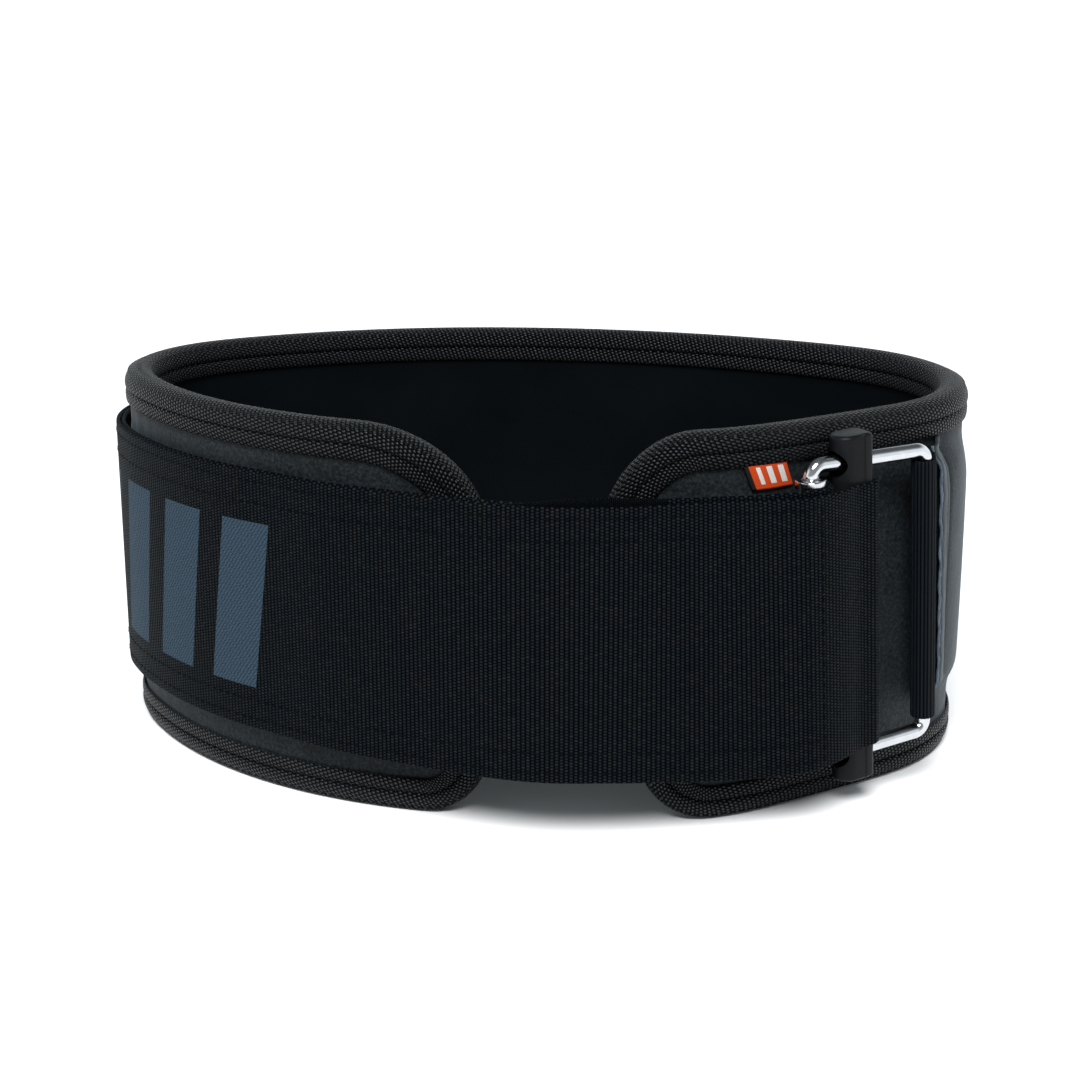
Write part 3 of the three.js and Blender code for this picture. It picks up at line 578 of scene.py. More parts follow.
class Shader:
    """A material's node tree, written as sums."""

    def __init__(self, name):
        self.material = bpy.data.materials.get(name) or bpy.data.materials.new(name)
        self.material.use_nodes = True
        self.tree = self.material.node_tree
        self.tree.nodes.clear()
        self.output = self.tree.nodes.new("ShaderNodeOutputMaterial")
        self.surface = self.tree.nodes.new("ShaderNodeBsdfPrincipled")
        self.tree.links.new(self.surface.outputs["BSDF"], self.output.inputs["Surface"])

    def put(self, value, socket):
        if isinstance(value, bpy.types.NodeSocket):
            self.tree.links.new(value, socket)
        else:
            socket.default_value = value

    def sum(self, operation, *values):
        node = self.tree.nodes.new("ShaderNodeMath")
        node.operation = operation
        for value, socket in zip(values, node.inputs):
            self.put(value, socket)
        return node.outputs[0]

    def coordinates(self, kind="UV"):
        node = self.tree.nodes.new("ShaderNodeTexCoord")
        split = self.tree.nodes.new("ShaderNodeSeparateXYZ")
        self.tree.links.new(node.outputs[kind], split.inputs[0])
        return node.outputs[kind], split.outputs[0], split.outputs[1], split.outputs[2]

    def noise(self, vector, scale, detail=3.0, roughness=0.5):
        node = self.tree.nodes.new("ShaderNodeTexNoise")
        node.inputs["Scale"].default_value = scale
        node.inputs["Detail"].default_value = detail
        node.inputs["Roughness"].default_value = roughness
        self.tree.links.new(vector, node.inputs["Vector"])
        return node.outputs["Fac"]

    def stretched(self, vector, scale):
        node = self.tree.nodes.new("ShaderNodeMapping")
        node.inputs["Scale"].default_value = scale
        self.tree.links.new(vector, node.inputs["Vector"])
        return node.outputs[0]

    def ramp(self, value, stops):
        node = self.tree.nodes.new("ShaderNodeValToRGB")
        while len(node.color_ramp.elements) > 1:
            node.color_ramp.elements.remove(node.color_ramp.elements[-1])
        for i, (place, shade) in enumerate(stops):
            element = node.color_ramp.elements[0] if i == 0 else node.color_ramp.elements.new(place)
            element.position = place
            element.color = (*shade, 1)
        self.tree.links.new(value, node.inputs["Fac"])
        return node.outputs["Color"]

    def blend(self, share, first, second):
        node = self.tree.nodes.new("ShaderNodeMix")
        node.data_type = "RGBA"
        self.put(share, node.inputs["Factor"])
        for value, socket in ((first, node.inputs["A"]), (second, node.inputs["B"])):
            if not isinstance(value, bpy.types.NodeSocket):
                value = (*value, 1)
            self.put(value, node.inputs[6] if socket.name == "A" else node.inputs[7])
        return node.outputs[2]

    def rerange(self, value, low, high):
        node = self.tree.nodes.new("ShaderNodeMapRange")
        node.inputs["To Min"].default_value = low
        node.inputs["To Max"].default_value = high
        self.tree.links.new(value, node.inputs["Value"])
        return node.outputs[0]

    def chance(self, x, y):
        """A random value for each whole-numbered place."""
        join = self.tree.nodes.new("ShaderNodeCombineXYZ")
        self.put(x, join.inputs[0])
        self.put(y, join.inputs[1])
        node = self.tree.nodes.new("ShaderNodeTexWhiteNoise")
        self.tree.links.new(join.outputs[0], node.inputs["Vector"])
        return node.outputs["Value"]

    def product(self, first, second):
        node = self.tree.nodes.new("ShaderNodeMix")
        node.data_type = "RGBA"
        node.blend_type = "MULTIPLY"
        node.inputs["Factor"].default_value = 1.0
        self.put(first, node.inputs[6])
        self.put(second, node.inputs[7])
        return node.outputs[2]

    def relief(self, height, distance, strength=1.0, under=None):
        node = self.tree.nodes.new("ShaderNodeBump")
        node.inputs["Strength"].default_value = strength
        node.inputs["Distance"].default_value = distance
        self.tree.links.new(height, node.inputs["Height"])
        if under is not None:
            self.tree.links.new(under, node.inputs["Normal"])
        return node.outputs[0]

    def set(self, **values):
        for name, value in values.items():
            self.put(value, self.surface.inputs[name.replace("_", " ").title().replace("Ior", "IOR")])
        return self.material


def shade(colour, factor):
    """A colour made lighter or darker."""
    return tuple(min(1.0, part * factor) for part in colour)


def beads(shader, u, v, u_pitch, v_pitch, bluntness):
    """A woven face as columns of beads, each column half a bead off its neighbour: height and a chance value."""
    column = shader.sum("DIVIDE", u, u_pitch)
    column_count = shader.sum("FLOOR", column)
    odd = shader.sum("FLOORED_MODULO", column_count, 2.0)
    row = shader.sum("ADD", shader.sum("DIVIDE", v, v_pitch), shader.sum("MULTIPLY", odd, 0.5))
    across = shader.sum("SINE", shader.sum("MULTIPLY", shader.sum("FRACT", column), math.pi))
    along = shader.sum("SINE", shader.sum("MULTIPLY", shader.sum("FRACT", row), math.pi))
    across, along = (shader.sum("POWER", wave, bluntness) for wave in (across, along))
    height = shader.sum("MULTIPLY", across, along)
    chance = shader.chance(column_count, shader.sum("FLOOR", row))
    return height, chance


def ribs(shader, u, pitch, bluntness):
    """Plain ribs across the webbing: height and a chance value."""
    rib = shader.sum("DIVIDE", u, pitch)
    wave = shader.sum("SINE", shader.sum("MULTIPLY", shader.sum("FRACT", rib), math.pi))
    return shader.sum("POWER", wave, bluntness), shader.chance(shader.sum("FLOOR", rib), 0.0)


def woven_colour_with_painted_shade(shader, base, height, chance, fuzz, gap, top):
    """Beads that differ a little in tone, some bluish and some brownish, with painted shade in the gaps between them
    and a painted highlight on their tops.
    """
    cool = (base[0] * 0.85, base[1] * 1.03, base[2] * 1.15)
    warm = (base[0] * 1.15, base[1] * 0.99, base[2] * 0.95)
    tint = shader.ramp(chance, [(0.0, shade(cool, 0.75)), (0.45, cool), (0.75, warm), (1.0, shade(warm, 1.5))])
    # Painted shade and highlight: by bead height, the gaps sink to the gap level and the bead tops rise to the top
    # level.
    painted_bead_light = shader.sum("ADD", shader.sum("MULTIPLY", height, 0.85), shader.sum("MULTIPLY", fuzz, 0.3))
    light = shader.ramp(painted_bead_light, [(0.42, (gap, gap, gap)), (0.78, (0.75, 0.75, 0.75)), (1.0, (top, top, top))])
    return shader.product(tint, light)


def cover_material(colours):
    """Brushed microfibre with a fine nap and faint cloudy shading."""
    shader = Shader("cover_microfibre")
    vector, *_ = shader.coordinates("Object")
    nap = shader.noise(vector, 1100, 3.0, 0.75)
    cloud = shader.noise(vector, 45, 4.0, 0.6)
    tone = shader.sum("ADD", shader.sum("MULTIPLY", nap, 0.8), shader.sum("MULTIPLY", cloud, 0.2))
    stops = [(0.38, 0.35), (0.5, 0.95), (0.62, 1.9)]
    colour = shader.ramp(tone, [(place, shade(colours.cover, factor)) for place, factor in stops])
    normal = shader.relief(nap, 0.0002, 0.7, shader.relief(cloud, 0.0005, 0.4))
    return shader.set(
        base_color=colour,
        roughness=shader.rerange(cloud, 0.52, 0.68),
        normal=normal,
        sheen_weight=0.12,
        sheen_roughness=0.35,
        sheen_tint=(0.72, 0.86, 0.95, 1),
        specular_ior_level=0.1,
    )


def lining_material(colours):
    """Smooth matte inside with a very fine grain."""
    shader = Shader("lining_cloth")
    vector, *_ = shader.coordinates("Object")
    grain = shader.noise(vector, 1800, 2.0, 0.6)
    cloud = shader.noise(vector, 30, 3.0, 0.5)
    colour = shader.ramp(cloud, [(0.3, shade(colours.lining, 0.8)), (0.7, shade(colours.lining, 1.25))])
    return shader.set(
        base_color=colour,
        roughness=shader.rerange(grain, 0.7, 0.85),
        normal=shader.relief(grain, 0.0001, 0.4),
        specular_ior_level=0.02,
    )


def webbing_material(name, base, weave=(1.25 * MM, 0.84 * MM), bars=None, gloss=0.07):
    """Woven webbing: columns of beads across its length, with plain slanted bars woven in where asked."""
    shader = Shader(name)
    vector, u, v, _ = shader.coordinates("UV")
    if weave[1]:
        height, chance = beads(shader, u, v, *weave, 0.5)
    else:
        height, chance = ribs(shader, u, weave[0], 0.42)
    fuzz = shader.noise(vector, 1500, 3.0, 0.6)
    # Painted shade in the gaps between beads and ribs, and a painted highlight on their tops.
    colour = woven_colour_with_painted_shade(shader, base, height, chance, fuzz, 0.14, 1.9)
    if bars:
        mask = bar_mask(shader, u, v, bars)
        twill_at = shader.sum("ADD", shader.sum("MULTIPLY", u, 1.0 / MM), shader.sum("MULTIPLY", v, 0.75 / MM))
        twill = shader.sum("SINE", shader.sum("MULTIPLY", twill_at, 2 * math.pi * 0.8))
        woven = shader.sum("ADD", shader.sum("MULTIPLY", twill, 0.22), shader.sum("MULTIPLY", fuzz, 0.9))
        stops = [(0.1, shade(bars["colour"], 0.5)), (0.5, bars["colour"]), (0.9, shade(bars["colour"], 1.5))]
        colour = shader.blend(mask, colour, shader.ramp(woven, stops))
    return shader.set(
        base_color=colour,
        roughness=shader.rerange(fuzz, 0.5, 0.68),
        normal=shader.relief(height, 0.00022, 0.8, shader.relief(fuzz, 0.0001, 0.5)),
        sheen_weight=0.03,
        sheen_roughness=0.2,
        sheen_tint=(0.75, 0.92, 1.0, 1),
        specular_ior_level=shader.sum("MULTIPLY", shader.sum("POWER", height, 2.0), gloss),
    )


def bar_mask(shader, u, v, bars):
    """One inside the plain slanted bars and zero outside them."""
    place = shader.sum("DIVIDE", shader.sum("SUBTRACT", u, bars["from"]), bars["pitch"])
    rise = shader.sum("DIVIDE", shader.sum("SUBTRACT", v, bars["low"]), bars["height"])
    slanted = shader.sum("ADD", place, shader.sum("MULTIPLY", rise, bars["slant"] / bars["pitch"]))
    mask = shader.sum("LESS_THAN", shader.sum("FRACT", slanted), bars["width"] / bars["pitch"])
    for value, low, high in ((slanted, 0.0, float(BAR_COUNT)), (rise, 0.0, 1.0)):
        mask = shader.sum("MULTIPLY", mask, shader.sum("GREATER_THAN", value, low))
        mask = shader.sum("MULTIPLY", mask, shader.sum("LESS_THAN", value, high))
    return mask


def binding_material(colours):
    """Woven edge tape: slanting rows of round beads, with painted shade in the gaps and a painted highlight on the bead
    tops.
    """
    shader = Shader("binding_tape")
    vector, u, v, _ = shader.coordinates("UV")
    slant = shader.sum("ADD", u, shader.sum("MULTIPLY", v, 0.35))
    height, chance = beads(shader, slant, v, 1.3 * MM, 1.02 * MM, 0.6)
    fuzz = shader.noise(vector, 1500, 3.0, 0.6)
    return shader.set(
        # Painted shade in the gaps and a painted highlight on the bead tops.
        base_color=woven_colour_with_painted_shade(shader, colours.binding, height, chance, fuzz, 0.02, 2.3),
        roughness=shader.rerange(fuzz, 0.34, 0.5),
        normal=shader.relief(height, 0.00045, 1.0, shader.relief(fuzz, 0.00008, 0.4)),
        sheen_weight=0.02,
        specular_ior_level=shader.sum("MULTIPLY", shader.sum("POWER", height, 3.0), 0.42),
    )


def thread_material(colours):
    """Twisted sewing thread."""
    shader = Shader("sewing_thread")
    vector, *_ = shader.coordinates("Object")
    fuzz = shader.noise(vector, 3000, 2.0, 0.5)
    colour = shader.ramp(fuzz, [(0.3, shade(colours.thread, 0.7)), (0.7, shade(colours.thread, 1.6))])
    return shader.set(base_color=colour, roughness=0.6, specular_ior_level=0.03, normal=shader.relief(fuzz, 0.0001, 0.5))


def slit_edge_material(colours):
    """Cut edge of the cover, drawn as a pale bluish-grey line with fine fibres."""
    shader = Shader("slit_edge")
    vector, *_ = shader.coordinates("Object")
    fibres = shader.noise(shader.stretched(vector, (1, 1, 0.25)), 1600, 3.0, 0.6)
    colour = shader.ramp(fibres, [(0.35, shade(colours.slit_edge, 0.5)), (0.65, shade(colours.slit_edge, 1.3))])
    return shader.set(base_color=colour, roughness=0.8, specular_ior_level=0.05, normal=shader.relief(fibres, 0.0003, 0.6))


def plate_material(colours):
    """Bright nickel plate with faint wear."""
    shader = Shader("nickel_plate")
    vector, *_ = shader.coordinates("Object")
    wear = shader.noise(vector, 350, 4.0, 0.6)
    colour = shader.ramp(wear, [(0.3, shade(colours.plate, 0.92)), (0.7, shade(colours.plate, 1.05))])
    return shader.set(
        base_color=colour,
        metallic=1.0,
        roughness=shader.rerange(wear, 0.07, 0.2),
        normal=shader.relief(wear, 0.00005, 0.25),
    )


def plastic_material(colours):
    """Moulded satin plastic with a fine spark-eroded grain."""
    shader = Shader("moulded_plastic")
    vector, *_ = shader.coordinates("Object")
    grain = shader.noise(vector, 2200, 2.0, 0.6)
    smear = shader.noise(vector, 120, 3.0, 0.5)
    colour = shader.ramp(smear, [(0.3, shade(colours.plastic, 0.85)), (0.7, shade(colours.plastic, 1.2))])
    return shader.set(
        base_color=colour,
        roughness=shader.rerange(smear, 0.38, 0.5),
        normal=shader.relief(grain, 0.00006, 0.5),
        specular_ior_level=0.12,
    )


def tag_material(colours):
    """Red woven label with plain pale bars."""
    shader = Shader("woven_tag")
    vector, u, v, _ = shader.coordinates("UV")
    twill_at = shader.sum("ADD", shader.sum("MULTIPLY", u, 60.0), shader.sum("MULTIPLY", v, 40.0))
    twill = shader.sum("SINE", shader.sum("MULTIPLY", twill_at, 2 * math.pi * 0.6))
    bars_at = shader.sum("FRACT", shader.sum("MULTIPLY", shader.sum("SUBTRACT", u, 0.2), 3.6))
    bar = shader.sum("LESS_THAN", bars_at, 0.5)
    inside = [
        shader.sum("GREATER_THAN", u, 0.24),
        shader.sum("LESS_THAN", u, 0.9),
        shader.sum("GREATER_THAN", v, 0.18),
        shader.sum("LESS_THAN", v, 0.8),
    ]
    mask = bar
    for test in inside:
        mask = shader.sum("MULTIPLY", mask, test)
    tone = shader.rerange(twill, 0.0, 1.0)
    ground = shader.ramp(tone, [(0.0, shade(colours.tag_ground, 0.7)), (1.0, shade(colours.tag_ground, 1.15))])
    print_colour = shader.ramp(tone, [(0.0, shade(colours.tag_print, 0.75)), (1.0, shade(colours.tag_print, 1.1))])
    fold = shader.sum("LESS_THAN", u, 0.09)
    colour = shader.blend(fold, shader.blend(mask, ground, print_colour), (0.012, 0.011, 0.012))
    return shader.set(base_color=colour, roughness=0.65, specular_ior_level=0.1, normal=shader.relief(twill, 0.0001, 0.5))


def floor_material(colours):
    """Plain pale floor."""
    shader = Shader("pale_floor")
    vector, *_ = shader.coordinates("Object")
    cloud = shader.noise(vector, 3, 2.0, 0.5)
    colour = shader.ramp(cloud, [(0.3, shade(colours.floor, 0.99)), (0.7, shade(colours.floor, 1.01))])
    return shader.set(base_color=colour, roughness=0.55, specular_ior_level=0.25)


def belt_form(context):
    """The belt's form and colours from the scene's settings."""
    return BeltForm(context.scene.belt_sizes), context.scene.belt_colours


def body_sheet(form, name, face_offset, back_offset, rows, spacing):
    """A layer of the body as a closed mesh, with its face and back at given offsets."""
    low, high = form.edge_paths(form.rim_inset, spacing=spacing)
    aside = abs(float(form.slit_at(form.sizes.belt_height) - form.slit_at(0))) / 2 + 0.6 * MM
    keep = np.abs(low[:, 0] - form.slit_place) > aside
    low, high = low[keep], high[keep]
    z = np.array([form.rim_inset, form.sizes.belt_height - form.rim_inset])
    for side in (-0.15 * MM, 0.15 * MM):
        place = form.slit_at(z) + side
        at = int(np.searchsorted(low[:, 0], form.slit_place + side))
        low = np.insert(low, at, [place[0], z[0]], axis=0)
        high = np.insert(high, at, [place[1], z[1]], axis=0)
    share = (1 - np.cos(np.linspace(0, math.pi, rows))) / 2 * 0.5 + np.linspace(0, 1, rows) * 0.5
    s = low[:, None, 0] + (high[:, None, 0] - low[:, None, 0]) * share
    z = low[:, None, 1] + (high[:, None, 1] - low[:, None, 1]) * share
    face = form.bend(s, face_offset(s, z), z)
    sparse = np.unique(np.linspace(0, rows - 1, 12).astype(int))[::-1]
    back = form.bend(s[:, sparse], back_offset(s[:, sparse], z[:, sparse]), z[:, sparse])
    uvs = np.concatenate([np.stack([s, z], -1), np.stack([s[:, sparse], z[:, sparse] + 0.2], -1)], 1)
    return lofted(name, np.concatenate([face, back], 1), uvs), (s, z)


def settling_room(form, s):
    """How far the padding may swell: most at the right and the back, little at the front, none at the strap."""
    sizes = form.sizes
    free = smooth(form.slit_place + 4 * MM, form.slit_place + 26 * MM, s)
    sewn = smooth(sizes.belt_length - 262 * MM, sizes.belt_length - 246 * MM, s)
    return (0.4 + 1.0 * free * (1 - sewn)) * MM


def settle_padding(form, made, grid):
    """Inflate the padded cover a little as cloth held at its rim, and keep it inside its swell."""
    s, z = grid
    stations, rows = s.shape
    ring = len(made.data.vertices) // stations
    start = np.zeros(len(made.data.vertices) * 3)
    made.data.vertices.foreach_get("co", start)
    start = start.reshape(stations, ring, 3)
    free = smooth(form.sizes.binding_reach - 1 * MM, form.sizes.binding_reach + 4 * MM, form.edge_distance(s, z))
    near_slit = 1 - np.exp(-(((s - form.slit_at(z)) / (9 * MM)) ** 2)) * form.slit_window(z)
    pins = np.ones((stations, ring))
    pins[:, :rows] = 1 - free * near_slit
    group = made.vertex_groups.new(name="held")
    for weight in np.unique(np.round(pins, 2)):
        members = np.flatnonzero(np.round(pins.ravel(), 2) == weight).tolist()
        group.add(members, float(weight), "REPLACE")
    cloth = made.modifiers.new("padding", "CLOTH")
    cloth.settings.quality = 6
    cloth.settings.mass = 0.3
    cloth.settings.tension_stiffness = 20
    cloth.settings.compression_stiffness = 20
    cloth.settings.bending_stiffness = 4
    cloth.settings.vertex_group_mass = "held"
    cloth.settings.use_pressure = True
    cloth.settings.uniform_pressure_force = 4
    cloth.settings.effector_weights.gravity = 0
    cloth.settings.shrink_min = -0.006
    cloth.point_cache.frame_start, cloth.point_cache.frame_end = 1, 20
    for step in range(1, 21):
        bpy.context.scene.frame_set(step)
    graph = bpy.context.evaluated_depsgraph_get()
    settled = made.evaluated_get(graph).to_mesh()
    moved = np.zeros(len(settled.vertices) * 3)
    settled.vertices.foreach_get("co", moved)
    made.evaluated_get(graph).to_mesh_clear()
    made.modifiers.clear()
    bpy.context.scene.frame_set(1)
    moved = moved.reshape(stations, ring, 3)
    shift = moved[:, :rows] - start[:, :rows]
    heading = form.heading_at(s)
    outward = np.stack([np.sin(heading), -np.cos(heading), np.zeros_like(heading)], -1)
    swell = (shift * outward).sum(-1)
    swell = np.clip(swell / np.percentile(swell, 95), -0.2, 1) * settling_room(form, s)
    for _ in range(3):
        padded = np.pad(swell, 1, mode="edge")
        swell = (padded[:-2, 1:-1] + padded[2:, 1:-1] + padded[1:-1, :-2] + padded[1:-1, 2:] + 2 * swell) / 6
    under_strap = smooth(form.sizes.belt_length - 250 * MM, form.sizes.belt_length - 240 * MM, s)
    inside_strap = (z > form.sizes.strap_lift - 2 * MM) & (z < form.sizes.strap_lift + form.sizes.strap_width + 2 * MM)
    swell = np.where(inside_strap, np.minimum(swell, 0.5 * MM * (1 - under_strap)), swell)
    start[:, :rows] += outward * (swell * (1 - pins[:, :rows]))[..., None]
    made.data.vertices.foreach_set("co", start.ravel())
    made.vertex_groups.clear()
    made.data.update()
    finer = made.modifiers.new("finer", "SUBSURF")
    finer.levels = 1
    applied(made)


class BELT_OT_padded_cover(bpy.types.Operator):
    """Build the padded panel's cover and let its padding settle"""

    bl_idname = "belt.padded_cover"
    bl_label = "Padded cover"

    def execute(self, context):
        form, colours = belt_form(context)
        back = lambda s, z: np.full(np.shape(s), form.panel_back)
        face = lambda s, z: form.panel_offset(s, z) + form.wrinkles(s, z)
        made, grid = body_sheet(form, "padded_cover", face, back, 44, 2 * MM)
        settle_padding(form, made, grid)
        finished(made, cover_material(colours), ["padded_panel"])
        return {"FINISHED"}


class BELT_OT_lining(bpy.types.Operator):
    """Build the smooth inside layer"""

    bl_idname = "belt.lining"
    bl_label = "Lining"

    def execute(self, context):
        form, colours = belt_form(context)
        face = lambda s, z: -form.panel_face - form.sizes.lining_crown * form.swell(s, z)
        back = lambda s, z: np.full(np.shape(s), form.lining_back)
        made, _ = body_sheet(form, "inside_lining", face, back, 30, 3 * MM)
        finished(made, lining_material(colours), ["inner_lining"])
        return {"FINISHED"}


def binding_section(form):
    """The binding's section as places (depth from the edge, offset): round nose, shallow stitch groove, strip."""
    sizes = form.sizes
    half, reach, line = form.half_edge, sizes.binding_reach, sizes.stitch_line
    nose = [
        (half * (1 - math.cos(turn)), half * math.sin(turn) ** 0.85)
        for turn in np.linspace(0.12, math.pi / 2, 12)
    ]
    face = [
        (line - 0.55 * MM, half - 0.08 * MM),
        (line - 0.1 * MM, half - 0.7 * MM),
        (line + 0.35 * MM, half - 0.7 * MM),
        (line + 0.9 * MM, half - 0.18 * MM),
        (line + 1.8 * MM, half - 0.06 * MM),
        (reach - 1.2 * MM, half - 0.12 * MM),
        (reach - 0.4 * MM, half - 0.28 * MM),
        (reach, half - 0.65 * MM),
        (reach - 0.3 * MM, form.binding_inner),
        (sizes.binding_wall, form.binding_inner),
    ]
    outer = [*nose, *face]
    return np.array(outer + [(depth, -offset) for depth, offset in reversed(outer)])


class BELT_OT_binding(bpy.types.Operator):
    """Build the woven tape folded over the panel's edge"""

    bl_idname = "belt.binding"
    bl_label = "Edge binding"

    def execute(self, context):
        form, colours = belt_form(context)
        loop = form.outline(1.6 * MM)
        step = np.roll(loop, -1, axis=0) - np.roll(loop, 1, axis=0)
        step /= np.linalg.norm(step, axis=1, keepdims=True)
        inward = turned(step, math.pi / 2)
        section = binding_section(form)
        places = loop[:, None] + inward[:, None] * section[None, :, :1]
        rings = form.bend(places[..., 0], np.broadcast_to(section[:, 1], places.shape[:2]), places[..., 1])
        rings[..., 2] = np.maximum(rings[..., 2], 0)
        run = np.concatenate([[0], np.cumsum(np.linalg.norm(np.diff(loop, axis=0), axis=1))])
        girth = run_along(section)
        uvs = np.stack(np.broadcast_arrays(run[:, None], girth[None, :]), -1)
        made = lofted("binding_tape", rings, uvs, closed_run=True)
        finished(made, binding_material(colours), ["edge_binding"])
        return {"FINISHED"}


def webbing(form, name, path, thickness, bottom, top, rib_depth=0.05 * MM, rib_pitch=1.25 * MM, lift=None):
    """Webbing on edge along a plan path, with woven ribs, rounded selvedges and its top edge lifted if asked."""
    path = respaced(path, rib_pitch / 4)
    run = run_along(path)
    side = turned(directions(path), -math.pi / 2)
    half = thickness / 2
    rib = np.abs(np.sin(math.pi * run / rib_pitch)) ** 0.8
    edge = [(0.0, 0.0), (0.55, 0.12), (0.9, 0.35), (1.0, 0.9)]
    middle = [(1.0, m) for m in np.linspace(8, (top - bottom) / MM - 8, 6)]
    wide = (top - bottom) / MM
    face = [*edge, *middle, *[(share, wide - rise) for share, rise in reversed(edge)]]
    ring = [(share, rise) for share, rise in face] + [(-share, rise) for share, rise in reversed(face[1:-1])]
    ring = np.array(ring)
    offset = ring[None, :, 0] * (half - rib_depth * (1 - rib[:, None]))
    rise = bottom + ring[None, :, 1] * MM
    pull = np.clip(1 - np.minimum(ring[:, 1], wide - ring[:, 1]) / 0.5, 0, 1)
    sign = np.where(ring[:, 1] < wide / 2, 1, -1)
    rise = rise + pull * sign * rib_depth * (1 - rib[:, None])
    plan = path[:, None] + side[:, None] * offset[..., None]
    uvs = np.stack(np.broadcast_arrays(run[:, None], rise), -1)
    if lift is not None:
        rise = rise + lift(path, run)[:, None] * (rise - bottom) / (top - bottom)
    points = form.leaned(plan, np.broadcast_to(rise, offset.shape))
    return lofted(name, points, uvs), path, run


def strap_rise(path, inner):
    """How far the strap's top edge rises at each place of its path in front of the belt."""
    rows = np.array(STRAP_RISE) * MM
    first, second = (np.interp(path[:, 0], rows[:, 0], rows[:, ply], left=0, right=0) for ply in (1, 2))
    return np.where(inner, first, second) * smooth(-50 * MM, -56 * MM, path[:, 1])


class BELT_OT_strap(bpy.types.Operator):
    """Build the webbing strap and the hook tape between its plies"""

    bl_idname = "belt.strap"
    bl_label = "Strap"

    def execute(self, context):
        form, colours = belt_form(context)
        sizes = form.sizes
        strap = form.strap_path()
        bottom, top = sizes.strap_lift, sizes.strap_lift + sizes.strap_width
        made, path, run = webbing(
            form,
            "strap_webbing",
            strap["whole"],
            sizes.strap_thickness,
            bottom,
            top,
            lift=lambda path, run: strap_rise(path, run < strap["outer_from"]),
        )
        free_end = run[-1]
        first_bar = free_end - (sizes.free_end_reach - 52 * MM)
        bars = {
            "from": first_bar,
            "pitch": 26.5 * MM,
            "width": 17 * MM,
            "slant": 7 * MM,
            "low": bottom + 12.5 * MM,
            "height": 48 * MM,
            "colour": colours.bars,
        }
        finished(made, webbing_material("strap_weave", colours.webbing, bars=bars), ["strap"])
        self.hook_tape(form, colours, strap)
        return {"FINISHED"}

    def hook_tape(self, form, colours, strap):
        sizes = form.sizes
        outer = strap["outer"][::-1]
        inset = (sizes.strap_thickness + sizes.tape_thickness) / 2 + sizes.clearance
        share = (outer - strap["start"]) @ strap["chord"] / (strap["chord"] @ strap["chord"])
        inner = outer + turned(directions(outer), math.pi / 2) * inset
        crossing = (share > TAPE_FROM) & (share < TAPE_TO) & (inner[:, 1] < strap["start"][1])
        bottom = sizes.strap_lift + sizes.tape_rise
        top = bottom + sizes.strap_width
        made, _, run = webbing(
            form,
            "hook_tape_strip",
            inner[crossing],
            sizes.tape_thickness,
            bottom,
            top,
            rib_depth=0.01 * MM,
            lift=lambda path, run: np.interp(run / run[-1], (0, 0.4, 0.65, 1), (-2.3, -0.1, 0.4, 0.5)) * MM,
        )
        finished(made, webbing_material("hook_weave", shade(colours.webbing, 0.45), weave=(0.5 * MM, 0.5 * MM), gloss=0.04), ["hook_tape"])


class BELT_OT_keeper(bpy.types.Operator):
    """Build the keeper webbing and the cut edge of the slit it comes out of"""

    bl_idname = "belt.keeper"
    bl_label = "Keeper"

    def execute(self, context):
        form, colours = belt_form(context)
        sizes = form.sizes
        path = form.keeper_path()
        bottom = form.buckle_middle - sizes.keeper_width / 2
        top = bottom + sizes.keeper_width
        made, _, run = webbing(form, "keeper_webbing", path, sizes.keeper_thickness, bottom, top, 0.16 * MM, 0.9 * MM)
        finished(made, webbing_material("keeper_weave", shade(colours.webbing, 0.8), weave=(0.9 * MM, None), gloss=0.04), ["keeper_loop"])
        self.slit_edge(form, colours)
        return {"FINISHED"}

    def slit_edge(self, form, colours):
        """The lip stands on the cover behind the slit and curls forward at its top; its cut edge is paler."""
        sizes = form.sizes
        low = form.buckle_middle - sizes.slit_height / 2 + 0.5 * MM
        high = form.buckle_middle + sizes.slit_height / 2 + 3 * MM
        z = np.linspace(low, high, 110)
        curl = smooth(high - 10 * MM, high, z)
        stand = 1.0 * MM * smooth(low, low + 8 * MM, z) + 1.8 * MM * curl
        wave = 0.12 * MM * np.sin(z * 900) * np.sin(z * 370)
        edge_s = form.slit_at(z) + 0.9 * MM - curl * 5.6 * MM + wave
        proud = form.panel_face + sizes.panel_crown + 2 * sizes.keeper_thickness + 3 * sizes.clearance
        flush = form.panel_offset(form.slit_at(z) + 0.2 * MM, z) + sizes.clearance * form.slit_window(z)
        under = np.where(z > form.buckle_middle, proud, np.minimum(proud, flush))
        edge_n = under + stand * (1 + 0.15 * np.sin(z * 640))
        back_s = form.slit_at(z) + 7 * MM
        back_n = form.panel_offset(back_s, z) - 0.15 * MM
        across = np.linspace(0, 1, 12)
        eased = smooth(0, 1, across)
        s = edge_s[:, None] + (back_s - edge_s)[:, None] * across
        n = edge_n[:, None] + (back_n - edge_n)[:, None] * eased
        upright = np.broadcast_to(z[:, None], s.shape)
        face, back = form.bend(s, n, upright), form.bend(s, n - 0.7 * MM, upright)[:, ::-1]
        lip = lofted("slit_lip", np.concatenate([face, back], 1))
        finished(lip, cover_material(colours))
        angles = np.linspace(0, 2 * math.pi, 12, endpoint=False)
        radius = 0.42 * MM * (0.85 + 0.15 * np.sin(z * 2300) * np.cos(z * 910))[:, None]
        rings = form.bend(
            edge_s[:, None] + radius * np.cos(angles),
            edge_n[:, None] - 0.3 * MM + radius * 1.25 * np.sin(angles),
            np.broadcast_to(z[:, None], (len(z), len(angles))),
        )
        made = lofted("slit_edge", rings)
        finished(made, slit_edge_material(colours))


